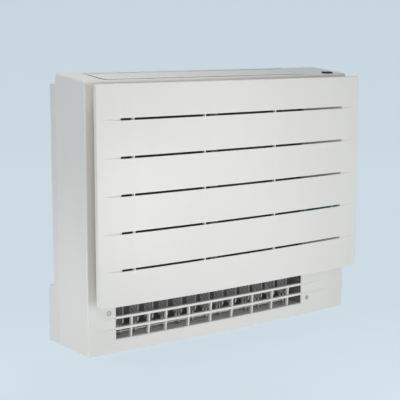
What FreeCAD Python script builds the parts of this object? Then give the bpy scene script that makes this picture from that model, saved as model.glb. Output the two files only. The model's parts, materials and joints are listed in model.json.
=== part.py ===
import FreeCAD, Part
import math
import os

# Floor console air conditioner, in millimetres. The origin lies on the floor under the middle of the
# unit. +X is to the right seen from the front, -Y is the front and +Z is up.

# Overall form
WIDTH = 750.0
HEIGHT = 600.0             # rear edge of the top
TOP_FALL = 13.0            # the top slopes down by this much to its front edge
WALL = 2.5                 # moulded walls
EDGE_RADIUS = 8.0          # upper front edge of the casing
CORNER_RADIUS = 3.0        # edges of the casing's sides
SEAM = 0.6                 # visible joint between moulded pieces
SEAT_GAP = 0.3             # clearance of a piece in its seat

# Stations from front to back
PANEL_BOW = 12.0           # rise of the panel's curve at its middle
PANEL_STANDOFF = 45.0      # casing's front corner to the panel's front corner
CASING_BOW = 12.5
CASING_DEPTH = 123.0       # side of the front casing
BACK_STRIP = 21.0          # side of the rear casing
FOOT_STEP = 24.0           # how far the foot stands behind the upper back
DEPTH = PANEL_BOW + PANEL_STANDOFF + CASING_DEPTH + BACK_STRIP + FOOT_STEP
HALF = WIDTH / 2
PANEL_CROWN_Y = -DEPTH / 2
PANEL_CORNER_Y = PANEL_CROWN_Y + PANEL_BOW
CASING_CORNER_Y = PANEL_CORNER_Y + PANEL_STANDOFF
CASING_CROWN_Y = CASING_CORNER_Y - CASING_BOW
SEAM_Y = CASING_CORNER_Y + CASING_DEPTH
BACK_Y = SEAM_Y + BACK_STRIP
FOOT_Y = BACK_Y + FOOT_STEP
INNER_BACK_Y = BACK_Y - WALL

# Top and back
TOP_CHAMFER = 8.0          # run of the chamfer behind the top
REAR_DROP = 23.0           # the rear casing ends this far below the top
TOP_REAR_Y = SEAM_Y - TOP_CHAMFER
REAR_TOP_Z = HEIGHT - REAR_DROP
TOP_SLOPE = math.atan2(TOP_FALL, TOP_REAR_Y - CASING_CORNER_Y)
FOOT_HEIGHT = 131.0
FOOT_RADIUS = 17.0
BASE = 3.0                 # base plate
LAP = 10.0                 # flange of the rear casing inside the front casing

# Air path, left of the control bay
LEFT_MARGIN = 65.0
CONTROL_BAY = 145.0
AIR_LEFT = -HALF + LEFT_MARGIN
AIR_RIGHT = HALF - CONTROL_BAY
AIR_MIDDLE = (AIR_LEFT + AIR_RIGHT) / 2
DUCT_WALL = 2.0
PARTITION_GAP = 0.5

# Lower outlet
GRILLE_BOTTOM = 28.0
GRILLE_HEIGHT = 75.0
GRILLE_DEPTH = 10.0
GRILLE_RIM = 2.5
GRILLE_BAR = 5.4
GRILLE_BAR_PITCH = 24.3
GRILLE_BARS = 2
GRILLE_POST = 3.6
GRILLE_CELLS = (45.0, 45.0, 45.0, 62.0, 62.0, 62.0, 62.0, 62.0, 52.0, 43.0)  # relative widths, from the left
CREASE_RADIUS = 1.6        # grooves that carry on the lines of the bars
CREASE_LEFT = 40.0
CREASE_RIGHT = 100.0
GRILLE_TOP = GRILLE_BOTTOM + GRILLE_HEIGHT

# Louvers behind the grille
LOUVER_COUNT = 13
LOUVER_END = 32.4          # outer louver to the duct's side
LOUVER_PITCH = (AIR_RIGHT - AIR_LEFT - 2 * LOUVER_END) / (LOUVER_COUNT - 1)
LOUVER_CHORD = 34.0
LOUVER_THICKNESS = 1.8
LOUVER_BEND = 4.0
LOUVER_PIN_RADIUS = 2.0
LOUVER_CRANK = 12.0        # pivot to crank pin
LOUVER_LIFT = 24.0         # blade's lower edge above the duct floor
CRANK_LIFT = 9.0           # crank foot above the duct floor
LOUVER_HEADROOM = 3.0
LOUVER_NOSE = 13.0         # rounded lower front corner
CRANK_PIN_RADIUS = 1.5
LINK_HEIGHT = 3.0
LINK_WIDTH = 9.0
LINK_LIFT = 3.5            # link bar above the duct floor
LINK_CLEARANCE = 0.4
RUNNING_GAP = 0.05         # radial clearance of pins that turn

# Drain pan and fan chamber
PAN_HEIGHT = 24.0
PAN_WALL = 2.0
PAN_END = 8.0              # pan beyond the exchanger at its left end
PAN_SPOUT_END = 32.0       # pan beyond the exchanger at its spout end
PAN_FRONT_LAP = 1.0        # pan in front of the filter bay's back
SPOUT_RADIUS = 9.0
SPOUT_BORE = 6.5
SPOUT_FLANGE = 12.0
SPOUT_FLANGE_HEIGHT = 3.0
SPOUT_LENGTH = 36.0
DRAIN_HOLE_RADIUS = 18.0   # hole in the base for the drain hose
CHAMBER_DROP = 39.0        # top of the fan chamber under the front edge of the top
PAN_BOTTOM = GRILLE_TOP + DUCT_WALL
PAN_TOP = PAN_BOTTOM + PAN_HEIGHT
CHAMBER_TOP = HEIGHT - TOP_FALL - CHAMBER_DROP

# Filter bay in the front of the casing
BAY_DEPTH = 9.5            # back of the bay behind the casing's front corner
BAY_WALL = 2.0
BAY_LIP = 6.0
BAY_MULLION = 10.0
FILTER_THICKNESS = 5.0
FILTER_BORDER = 7.0
FILTER_RIB = 2.4
FILTER_NET = 0.8
FILTER_COLUMNS = 5
FILTER_ROWS = 8
BAY_BACK_Y = CASING_CORNER_Y + BAY_DEPTH
BAY_BOTTOM = PAN_TOP + SEAT_GAP + BAY_WALL
BAY_TOP = CHAMBER_TOP - SEAT_GAP - BAY_WALL

# Heat exchanger
FIN_DEPTH = 26.0
FIN_COUNT = 54
FIN_THICKNESS = 0.6
FIN_MARGIN = 4.0
EXCHANGER_PLATE = 1.5
TUBE_ROWS = 2
TUBES_PER_ROW = 14
TUBE_RADIUS = 3.5
TUBE_CLEARANCE = 0.1
TUBE_OVERHANG = 8.0
TUBE_END_MARGIN = 16.0     # upper tube under the top of the fins
TUBE_PAN_GAP = 8.0         # lower tube above the pan
EXCHANGER_GAP = 1.0        # fins behind the filter bay
EXCHANGER_DROP = 8.0       # top of the fins under the fan chamber's top
BELL_GAP = 4.0             # fins to the bell mouth
EXCHANGER_FRONT_Y = BAY_BACK_Y + EXCHANGER_GAP
EXCHANGER_BACK_Y = EXCHANGER_FRONT_Y + FIN_DEPTH
EXCHANGER_FOOT = PAN_BOTTOM + PAN_WALL
EXCHANGER_TOP = CHAMBER_TOP - EXCHANGER_DROP
BELL_FRONT_Y = EXCHANGER_BACK_Y + BELL_GAP
BELL_BACK_Y = BELL_FRONT_Y + WALL

# Fan and motor
FAN_RADIUS = 155.0
FAN_EYE_RADIUS = 104.0
FAN_BLADES = 9
FAN_BLADE = 2.2
FAN_BLADE_SWEEP = 38.0     # degrees that a blade trails from eye to rim
FAN_BLADE_CURVE = ((0.0, 0.0), (0.5, 0.35), (1.0, 1.0))  # shares of the reach and of the sweep
FAN_SKIN = 2.5
FAN_WIDTH = 46.0
FAN_INLET_GAP = 4.0        # bell mouth to the collar of the fan
BELL_THROAT = 10.0
FAN_COLLAR = 7.0
FAN_AXIAL_GAP = 12.0       # bell mouth plate to the fan's shroud
HUB_RADIUS = 14.0
HUB_LENGTH = 16.0
SHAFT_RADIUS = 4.0
SHAFT_NOSE = 8.0
NUT_RADIUS = 7.5
NUT_HEIGHT = 6.0
MOTOR_RADIUS = 46.0
MOTOR_GAP = 3.5            # fan's back plate to the motor
MOTOR_FLANGE_RADIUS = 60.0
MOTOR_FLANGE = 3.0
BRACKET_THICKNESS = 4.0
BEARING_RADIUS = 11.0
BEARING_WIDTH = 7.0
BEARING_INSET = 2.0
MOTOR_BORE_GAP = 0.6
MOTOR_SCREWS = 4
SCREW_CIRCLE = 53.0
SCREW_RADIUS = 2.5
SCREW_HEAD_RADIUS = 4.5
SCREW_HEAD = 3.0
GUIDE_GAP = 23.0           # fan's rim to the curved air guides
GUIDE_ANGLE = 60.0
FAN_Z = (PAN_BOTTOM + CHAMBER_TOP) / 2
FAN_FRONT_Y = BELL_BACK_Y + FAN_AXIAL_GAP
FAN_BACK_Y = FAN_FRONT_Y + FAN_WIDTH
MOTOR_FRONT_Y = FAN_BACK_Y + MOTOR_GAP
MOTOR_BACK_Y = INNER_BACK_Y - BRACKET_THICKNESS

# Damper of the lower outlet
DAMPER_THICKNESS = 3.0
DAMPER_GAP = 4.0           # damper's edges to the walls beside it
DAMPER_PIN_RADIUS = 3.0
DAMPER_PIN = 6.0           # pin beyond the wall, inside its motor
DAMPER_RISE = 7.0          # damper's axis above the pan's underside
DAMPER_Z = PAN_BOTTOM + DAMPER_RISE
DAMPER_Y = (BELL_BACK_Y + INNER_BACK_Y) / 2
DUCT_TURN = 44.0           # inside radius where the lower duct turns up

# Top flap
FLAP_LEFT_OVERLAP = 7.0    # flap beyond the air path at its left end
FLAP_RIGHT_OVERLAP = 17.0
FLAP_LEFT = AIR_LEFT - FLAP_LEFT_OVERLAP
FLAP_RIGHT = AIR_RIGHT + FLAP_RIGHT_OVERLAP
FLAP_FRONT_INSET = 12.5    # flap's front edge behind the casing's front corner
FLAP_REACH = 82.0          # front edge to the hinge line
FLAP_THICKNESS = 4.0
FLAP_KNUCKLE = 7.0
FLAP_GAP = 1.6
FLAP_PIN_RADIUS = 2.5
FLAP_PIN = 6.0
UPPER_VANES = 8
UPPER_VANE = 1.8
UPPER_VANE_HEIGHT = 22.0

# Small gear motors of the flap and the damper
GEARMOTOR_RADIUS = 12.0
GEARMOTOR_LENGTH = 15.0
GEARMOTOR_EAR = 5.0
GEARMOTOR_EAR_REACH = 7.0
GEARMOTOR_EAR_THICKNESS = 2.0

# Front panel
PANEL_BOTTOM = 112.5
PANEL_TOP_DROP = 5.0       # panel's top under the casing's front edge
PANEL_RETURN = 9.0         # depth of the panel's edges
PANEL_TOP_RADIUS = 5.0
PANEL_BOTTOM_RADIUS = 10.0
PANEL_TOP = HEIGHT - TOP_FALL - PANEL_TOP_DROP
SLOT_COUNT = 5
SLOT_DROP = 73.5           # panel's top to the first slot
SLOT_PITCH = 79.65
SLOT_GAP = 5.0
SLOT_END_MARGIN = 58.0     # end of a slot to the panel's side
SLOT_FADE = 46.0           # length of the groove that runs out beyond a slot
PANEL_RIB = 3.0
PANEL_RIB_DEPTH = 8.0
PANEL_RIB_SHARES = (-0.76, -0.2747, 0.264)  # of the half width

# Hinge of the panel
HINGE_INSET = 45.0         # lug to the panel's side
HINGE_BEHIND = 15.0        # pivot behind the panel's edges
HINGE_RISE = 11.5          # pivot above the panel's bottom
HINGE_PIN_RADIUS = 3.0
HINGE_EYE_RADIUS = 7.0
HINGE_LUG = 10.0
HINGE_EAR = 4.0
HINGE_SIDE_GAP = 0.5
PIN_SEAT_GAP = 0.02
HINGE_Y = PANEL_CORNER_Y + PANEL_RETURN + HINGE_BEHIND
HINGE_Z = PANEL_BOTTOM + HINGE_RISE

# Sliding stoppers at the top of the panel
STOPPER_INSET = 52.0
STOPPER_DROP = 30.0
STOPPER_LENGTH = 36.0
STOPPER_HEIGHT = 14.0
STOPPER_DEPTH = 8.0
STOPPER_RAIL = 3.0
STOPPER_TRAVEL = 8.0
STOPPER_FINGER = 8.0
STOPPER_NOSE = 4.0
STOPPER_REACH = 14.0
STOPPER_HOLD = 8.0         # nose beyond the finger
CATCH_GAP = 2.0

# Control bay
BOX_SHEET = 1.2
BOX_GAP = 32.0             # control box to the air path
BOX_SIDE_GAP = 4.0
BOX_BOTTOM = 150.0
BOX_TOP_DROP = 70.0
BOX_REAR_GAP = 34.0        # room for the gas pipe behind the box
BOX_FRONT_Y = BAY_BACK_Y
BOX_BACK_Y = INNER_BACK_Y - BOX_REAR_GAP
COVER_THICKNESS = 1.6
TAB_WIDTH = 20.0
BOARD_THICKNESS = 1.6
BOARD_MARGIN = 8.0
BOARD_STANDOFF = 6.0
BOARD_SEAT = 0.5           # components let into the board
RELAY_SIZE = 26.0
COIL_SIZE = 34.0
SUPPLY_SIZE = 22.0
BOARD_SHARES = (0.12, 0.42, 0.74)  # of the board's height, to the foot of each component
TERMINAL_WIDTH = 60.0
TERMINAL_HEIGHT = 26.0
TERMINAL_DEPTH = 22.0
TERMINAL_POLES = 4

# Outlet selector on the front of the control bay
SELECTOR_OFFSET = 10.0     # plate beside the air path
SELECTOR_WIDTH = 110.0
SELECTOR_Z = 263.0
SELECTOR_HEIGHT = 46.0
SELECTOR_PLATE = 2.0
SWITCH_INSET = 25.0        # slider to the plate's right end
SWITCH_WIDTH = 10.0
SWITCH_HEAD = 12.0
SWITCH_STEM = 5.0
SWITCH_TRAVEL = 8.0
SWITCH_PROUD = 5.0
SWITCH_GAP = 0.4
SELECTOR_LEFT = AIR_RIGHT + SELECTOR_OFFSET
SELECTOR_RIGHT = SELECTOR_LEFT + SELECTOR_WIDTH
SWITCH_X = SELECTOR_RIGHT - SWITCH_INSET

# Window and button in the top
WINDOW_INSET = 63.0        # window's left end to the casing's side
WINDOW_WIDTH = 15.0
WINDOW_DEPTH = 16.0
WINDOW_RISE = 3.0          # window and button above the top
WINDOW_FRONT_INSET = 8.0
WINDOW_RADIUS = 4.0
WINDOW_THICKNESS = 5.0
WINDOW_FLANGE = 2.0
BUTTON_SPACE = 2.0
BUTTON_WIDTH = 9.0
BUTTON_RADIUS = 3.5
BUTTON_HEIGHT = 8.0

# Screws of the casing, beside the grille
LEFT_SCREW = 14.0          # beside and below the grille's upper left corner
RIGHT_SCREW = 18.0         # beside the grille's lower right corner
RIGHT_SCREW_RISE = 12.0
CASING_SCREWS = ((AIR_LEFT - LEFT_SCREW, GRILLE_TOP - LEFT_SCREW),
                 (AIR_RIGHT + RIGHT_SCREW, GRILLE_BOTTOM + RIGHT_SCREW_RISE))
CASING_SCREW_RADIUS = 2.2
CASING_SCREW_HEAD_RADIUS = 4.6
CASING_SCREW_HEAD = 2.2
CASING_SCREW_LENGTH = 12.0
CASING_BOSS_RADIUS = 6.0
RECESS_RADIUS = 5.6

# Services at the back
OPENING_OFFSET = 28.0      # opening beside the air path
OPENING_INSET = 29.0       # opening to the casing's side
OPENING_BOTTOM = 28.0
OPENING_HEIGHT = 70.0
LIQUID_RADIUS = 3.175
GAS_RADIUS = 4.76
LIQUID_OFFSET = 45.0       # pipes beside the air path
GAS_OFFSET = 73.0
PIPE_BEND = 18.0
PIPE_END_GAP = 3.0         # pipe ends in front of the wall
LIQUID_THREAD_RADIUS = 5.55
GAS_THREAD_RADIUS = 7.94
THREAD_LENGTH = 12.0
UNION_LENGTH = 10.0
UNION_WALL = 2.5           # hexagon beyond the thread
GROMMET_INSET = 45.0       # cable hole to the casing's side
GROMMET_RISE = 44.0        # cable hole above the foot
GROMMET_BORE = 6.0
GROMMET_HOLE = 10.0
GROMMET_FLANGE = 13.0
GROMMET_LIP = 1.5
PLATE_WIDTH = 520.0
PLATE_BOTTOM = 340.0
PLATE_HEIGHT = 110.0
PLATE_SHEET = 2.0
PLATE_HOLE_RADIUS = 3.5
PLATE_HOLE_SPACING = (450.0, 60.0)
PIPE_OPENING = (AIR_RIGHT + OPENING_OFFSET, HALF - OPENING_INSET)
PIPE_OPENING_Z = (OPENING_BOTTOM, OPENING_BOTTOM + OPENING_HEIGHT)
PIPE_Z = sum(PIPE_OPENING_Z) / 2
LIQUID_X = AIR_RIGHT + LIQUID_OFFSET
GAS_X = AIR_RIGHT + GAS_OFFSET
GROMMET_X = HALF - GROMMET_INSET
GROMMET_Z = FOOT_HEIGHT + GROMMET_RISE

FAR = 500.0                # past every face, for cutting tools
PAST = 1.0                 # short run of a cutting tool past a face


def vec(x, y, z):
    """A point or direction."""
    return FreeCAD.Vector(x, y, z)


def block(x_range, y_range, z_range):
    """A box between two corners."""
    corner = vec(x_range[0], y_range[0], z_range[0])
    size = [span[1] - span[0] for span in (x_range, y_range, z_range)]
    return Part.makeBox(size[0], size[1], size[2], corner)


def rod(radius, start, end):
    """A round bar between two points."""
    axis = end.sub(start)
    return Part.makeCylinder(radius, axis.Length, start, axis)


def ring(outer, inner, start, end):
    """A round tube between two points."""
    return rod(outer, start, end).cut(rod(inner, start, end))


def hexagon(radius, start, end):
    """A six-sided bar along Y between two points."""
    corners = []
    for step in range(7):
        angle = math.radians(60 * step)
        corners.append(vec(start.x + radius * math.cos(angle), start.y, start.z + radius * math.sin(angle)))
    return Part.Face(Part.makePolygon(corners)).extrude(end.sub(start))


def prism(points, x_range):
    """A side-view outline of (y, z) points, extruded along X."""
    corners = [vec(x_range[0], y, z) for y, z in points]
    outline = Part.makePolygon(corners + corners[:1])
    return Part.Face(outline).extrude(vec(x_range[1] - x_range[0], 0, 0))


def rounded_plate(x_range, y_range, z_range, radius):
    """A plate with rounded upright edges."""
    plate = block(x_range, y_range, z_range)
    upright = [edge for edge in plate.Edges if abs(edge.tangentAt(edge.FirstParameter).z) > 0.9]
    return plate.makeFillet(radius, upright)


def join(shapes):
    """One solid from shapes that touch or overlap."""
    return shapes[0].fuse(shapes[1:]).removeSplitter()


def arc_y(x, crown_y, bow, inset=0.0):
    """Y of a bowed front at x, moved inwards along its radius by an inset."""
    radius = (HALF ** 2 + bow ** 2) / (2 * bow)
    return crown_y + radius - math.sqrt((radius - inset) ** 2 - x ** 2)


def bowed_plan(crown_y, bow, inset, back_y, z):
    """Plan of a block with a bowed front, inset at the front and both sides."""
    side = HALF - inset
    corner_y = arc_y(side, crown_y, bow, inset)
    left = vec(-side, corner_y, z)
    right = vec(side, corner_y, z)
    front = Part.Arc(left, vec(0, crown_y + inset, z), right).toShape()
    rest = Part.makePolygon([right, vec(side, back_y, z), vec(-side, back_y, z), left])
    return Part.Face(Part.Wire([front] + rest.Edges))


def casing_y(x, inset=0.0):
    """Y of the casing's front at x."""
    return arc_y(x, CASING_CROWN_Y, CASING_BOW, inset)


def panel_y(x, inset=0.0):
    """Y of the panel's front at x."""
    return arc_y(x, PANEL_CROWN_Y, PANEL_BOW, inset)


def top_z(y, inset=0.0):
    """Height of the sloping top at y, moved inwards by an inset."""
    return HEIGHT - math.tan(TOP_SLOPE) * (TOP_REAR_Y - y) - inset / math.cos(TOP_SLOPE)


def casing_band(outer, inner, x_range, z_range):
    """A band that follows the casing's front, between two insets."""
    depth_y = CASING_CORNER_Y + FAR
    rise = vec(0, 0, z_range[1] - z_range[0])
    band = bowed_plan(CASING_CROWN_Y, CASING_BOW, outer, depth_y, z_range[0]).extrude(rise)
    core = bowed_plan(CASING_CROWN_Y, CASING_BOW, inner, depth_y + FAR, z_range[0]).extrude(rise)
    return band.cut(core).common(block(x_range, (-FAR, CASING_CORNER_Y + inner), z_range))


def rounded_casing(body, inset):
    """The casing block with its upper front edge and the edges of its sides rounded."""

    def on_top(points):
        return all(abs(point.z - top_z(point.y, inset)) < 0.01 for point in points)

    def at_front(points):
        return all(point.y < CASING_CORNER_Y + 2 * EDGE_RADIUS for point in points)

    def at_side(points):
        return all(abs(abs(point.x) - (HALF - inset)) < 0.01 for point in points)

    def front_edge(edge):
        points = [vertex.Point for vertex in edge.Vertexes]
        return on_top(points) and at_front(points)

    def side_edge(edge):
        points = [vertex.Point for vertex in edge.Vertexes]
        across = points[0].x * points[-1].x < 0
        return at_side(points) and not across and (on_top(points) or at_front(points))

    front_radius = max(EDGE_RADIUS - inset, EDGE_RADIUS / 4)
    side_radius = max(CORNER_RADIUS - inset, CORNER_RADIUS / 4)
    body = body.makeFillet(front_radius, [edge for edge in body.Edges if front_edge(edge)])
    return body.makeFillet(side_radius, [edge for edge in body.Edges if side_edge(edge)])


def casing_core(inset, bottom, back_y):
    """The space inside the casing's outer faces, inset at the front, sides and top, with sharp edges."""
    plan = bowed_plan(CASING_CROWN_Y, CASING_BOW, inset, back_y, bottom)
    body = plan.extrude(vec(0, 0, HEIGHT + FAR))
    fall = REAR_DROP / TOP_CHAMFER
    lean = math.hypot(1.0, fall)

    def chamfer_z(y):
        return REAR_TOP_Z - fall * (y - SEAM_Y) - inset * lean

    rise = math.tan(TOP_SLOPE)
    ridge_y = (chamfer_z(0.0) - top_z(0.0, inset)) / (rise + fall)
    outline = [
        (-FAR, bottom),
        (back_y, bottom),
        (back_y, chamfer_z(back_y)),
        (ridge_y, top_z(ridge_y, inset)),
        (-FAR, top_z(-FAR, inset)),
    ]
    return body.common(prism(outline, (-FAR, FAR)))


def casing_block(inset, bottom, back_y):
    """The same space with the casing's rounded edges."""
    return rounded_casing(casing_core(inset, bottom, back_y), inset)


def flap_frame():
    """Hinge point of the flap and the directions along and square to the top, as (y, z)."""
    along = (math.cos(TOP_SLOPE), math.sin(TOP_SLOPE))
    square = (-math.sin(TOP_SLOPE), math.cos(TOP_SLOPE))
    front_y = CASING_CORNER_Y + FLAP_FRONT_INSET
    front = (front_y, top_z(front_y))
    hinge = tuple(front[i] + FLAP_REACH * along[i] - FLAP_KNUCKLE * square[i] for i in range(2))
    return hinge, along, square


def flap_opening():
    """X and Y ranges of the opening under the flap."""
    hinge, along, square = flap_frame()
    front_y = CASING_CORNER_Y + FLAP_FRONT_INSET - FLAP_GAP
    return (FLAP_LEFT - FLAP_GAP, FLAP_RIGHT + FLAP_GAP), (front_y, hinge[0] + FLAP_KNUCKLE + FLAP_GAP)


def window_ranges():
    """X range of the window, X range of the button and the Y range of both."""
    left = HALF - WINDOW_INSET
    window = (left, left + WINDOW_WIDTH)
    button = (window[1] + BUTTON_SPACE, window[1] + BUTTON_SPACE + BUTTON_WIDTH)
    front_y = CASING_CORNER_Y + WINDOW_FRONT_INSET
    return window, button, (front_y, front_y + WINDOW_DEPTH)


def hinge_x(sign):
    """Middle of a panel lug."""
    return sign * (HALF - HINGE_INSET)


def stopper_place(sign):
    """Inner end in X, front in Y and middle in Z of a stopper."""
    middle_x = sign * (HALF - STOPPER_INSET)
    front_y = panel_y(abs(middle_x) - STOPPER_LENGTH / 2, WALL) + SEAT_GAP
    front_y = max(front_y, panel_y(abs(middle_x) + STOPPER_LENGTH / 2 + STOPPER_TRAVEL, WALL) + SEAT_GAP)
    return middle_x, front_y, PANEL_TOP - STOPPER_DROP


def span(a, b):
    """An ordered range."""
    return (min(a, b), max(a, b))


def intake_bay():
    """Walls, lip and mullion that hold the filters behind the casing's front."""
    outer = block((AIR_LEFT - BAY_WALL, AIR_RIGHT + BAY_WALL), (-FAR, BAY_BACK_Y),
                  (BAY_BOTTOM - BAY_WALL, BAY_TOP + BAY_WALL))
    lip_y = BAY_BACK_Y - BAY_WALL
    outer = outer.cut(block((AIR_LEFT, AIR_RIGHT), (-FAR, lip_y), (BAY_BOTTOM, BAY_TOP)))
    outer = outer.cut(block((AIR_LEFT + BAY_LIP, AIR_RIGHT - BAY_LIP), (-FAR, FAR),
                            (BAY_BOTTOM + BAY_LIP, BAY_TOP - BAY_LIP)))
    mullion = block((AIR_MIDDLE - BAY_MULLION / 2, AIR_MIDDLE + BAY_MULLION / 2), (-FAR, BAY_BACK_Y),
                    (BAY_BOTTOM - BAY_WALL, BAY_TOP + BAY_WALL))
    return outer.fuse(mullion).common(casing_block(0.0, 0.0, SEAM_Y))


def hinge_ear(x_range):
    """One ear of the panel hinge on the casing."""
    wall_y = casing_y(HALF - HINGE_INSET, WALL / 2)
    arm = block(x_range, (HINGE_Y, wall_y), (HINGE_Z - HINGE_EYE_RADIUS, HINGE_Z + HINGE_EYE_RADIUS))
    eye = rod(HINGE_EYE_RADIUS, vec(x_range[0], HINGE_Y, HINGE_Z), vec(x_range[1], HINGE_Y, HINGE_Z))
    bore = rod(HINGE_PIN_RADIUS + PIN_SEAT_GAP, vec(x_range[0] - PAST, HINGE_Y, HINGE_Z),
               vec(x_range[1] + PAST, HINGE_Y, HINGE_Z))
    return arm.fuse(eye).cut(bore)


def stopper_catch(sign):
    """Hook on the casing that a stopper slides behind."""
    middle_x, front_y, z = stopper_place(sign)
    nose_y = front_y + STOPPER_DEPTH + STOPPER_REACH - STOPPER_NOSE
    z_range = (z - STOPPER_FINGER / 2, z + STOPPER_FINGER / 2)
    hook_x = middle_x + sign * (STOPPER_FINGER / 2 + STOPPER_TRAVEL + CATCH_GAP)
    post_x = hook_x + sign * STOPPER_HOLD
    front = nose_y - CATCH_GAP - STOPPER_NOSE
    wall_y = casing_y(abs(post_x) + STOPPER_NOSE, WALL / 2)
    post = block(span(post_x, post_x + sign * STOPPER_NOSE), (front, wall_y), z_range)
    hook = block(span(hook_x, post_x + sign * STOPPER_NOSE), (front, front + STOPPER_NOSE), z_range)
    return post.fuse(hook)


def crease(sign, z):
    """Groove that runs out from an end of the grille along a bar's line and tapers away."""
    start_x, fade = ((AIR_LEFT, CREASE_LEFT), (AIR_RIGHT, CREASE_RIGHT))[(sign + 1) // 2]
    tip_x = start_x + sign * fade
    start = vec(start_x, casing_y(start_x), z)
    axis = vec(tip_x, casing_y(tip_x), z).sub(start)
    return Part.makeCone(CREASE_RADIUS, CREASE_RADIUS / 10, axis.Length, start, axis)


def bar_heights():
    """Middle of each long bar of the grille."""
    return [GRILLE_BOTTOM + step * GRILLE_BAR_PITCH for step in range(1, GRILLE_BARS + 1)]


def front_casing():
    """Shell with the sides, the top and the front, open at the back and below."""
    shell = casing_block(0.0, 0.0, SEAM_Y - SEAM / 2).cut(casing_block(WALL, -BASE, SEAM_Y + LAP))
    shell = shell.cut(block((AIR_LEFT, AIR_RIGHT), (-FAR, BAY_BACK_Y), (BAY_BOTTOM, BAY_TOP)))
    shell = shell.cut(block((AIR_LEFT, AIR_RIGHT), (-FAR, CASING_CORNER_Y + WALL),
                            (GRILLE_BOTTOM, GRILLE_TOP)))
    flap_x, flap_y = flap_opening()
    shell = shell.cut(block(flap_x, flap_y, (CHAMBER_TOP, HEIGHT + FAR)))
    window_x, button_x, window_y = window_ranges()
    for x_range, radius in ((window_x, WINDOW_RADIUS), (button_x, BUTTON_RADIUS)):
        wide = (x_range[0] - SEAT_GAP, x_range[1] + SEAT_GAP)
        deep = (window_y[0] - SEAT_GAP, window_y[1] + SEAT_GAP)
        shell = shell.cut(rounded_plate(wide, deep, (CHAMBER_TOP, HEIGHT + FAR), radius + SEAT_GAP))
    added = [intake_bay()]
    for sign in (-1, 1):
        inner = hinge_x(sign) - HINGE_LUG / 2 - HINGE_SIDE_GAP
        outer = hinge_x(sign) + HINGE_LUG / 2 + HINGE_SIDE_GAP
        added += [hinge_ear((inner - HINGE_EAR, inner)), hinge_ear((outer, outer + HINGE_EAR))]
        added.append(stopper_catch(sign))
    for x, z in CASING_SCREWS:
        start = vec(x, casing_y(x, WALL / 2), z)
        added.append(rod(CASING_BOSS_RADIUS, start, vec(x, casing_y(x) + CASING_SCREW_LENGTH + WALL, z)))
    shell = join([shell] + added)
    for x, z in CASING_SCREWS:
        front = casing_y(x)
        hole_radius = CASING_SCREW_RADIUS + PIN_SEAT_GAP
        shell = shell.cut(rod(hole_radius, vec(x, -FAR, z), vec(x, front + CASING_SCREW_LENGTH, z)))
        shell = shell.cut(rod(RECESS_RADIUS, vec(x, -FAR, z), vec(x, front + CASING_SCREW_HEAD, z)))
    creases = [crease(sign, z) for sign in (-1, 1) for z in bar_heights()]
    shell = shell.cut(creases)
    slot_half = SWITCH_STEM / 2 + SWITCH_GAP
    slot_z = (SELECTOR_Z - slot_half, SELECTOR_Z + slot_half + SWITCH_TRAVEL)
    return shell.cut(block((SWITCH_X - slot_half, SWITCH_X + slot_half), (-FAR, BOX_FRONT_Y), slot_z))


def casing_screws():
    """The two screws beside the grille."""
    screws = []
    for x, z in CASING_SCREWS:
        front = casing_y(x)
        start = vec(x, front + SEAT_GAP, z)
        head = rod(CASING_SCREW_HEAD_RADIUS, start, vec(x, front + CASING_SCREW_HEAD, z))
        shank = rod(CASING_SCREW_RADIUS, start, vec(x, front + CASING_SCREW_LENGTH - SEAT_GAP, z))
        screws.append(join([head, shank]))
    return Part.makeCompound(screws)


def foot_outline(inset):
    """Side view of the foot, with its rounded upper corner, inset from its outer faces."""
    back = FOOT_Y - inset
    top = FOOT_HEIGHT - inset
    radius = FOOT_RADIUS - inset
    corner = math.sqrt(0.5) * radius
    arc = Part.Arc(vec(0, back, top - radius), vec(0, back - radius + corner, top - radius + corner),
                   vec(0, back - radius, top)).toShape()
    bottom = BASE if inset else 0.0
    front = SEAM_Y + SEAM / 2 if not inset else SEAM_Y - LAP
    lines = Part.makePolygon([vec(0, back - radius, top), vec(0, front, top), vec(0, front, bottom),
                              vec(0, back, bottom), vec(0, back, top - radius)])
    return Part.Face(Part.Wire([arc] + lines.Edges))


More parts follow.
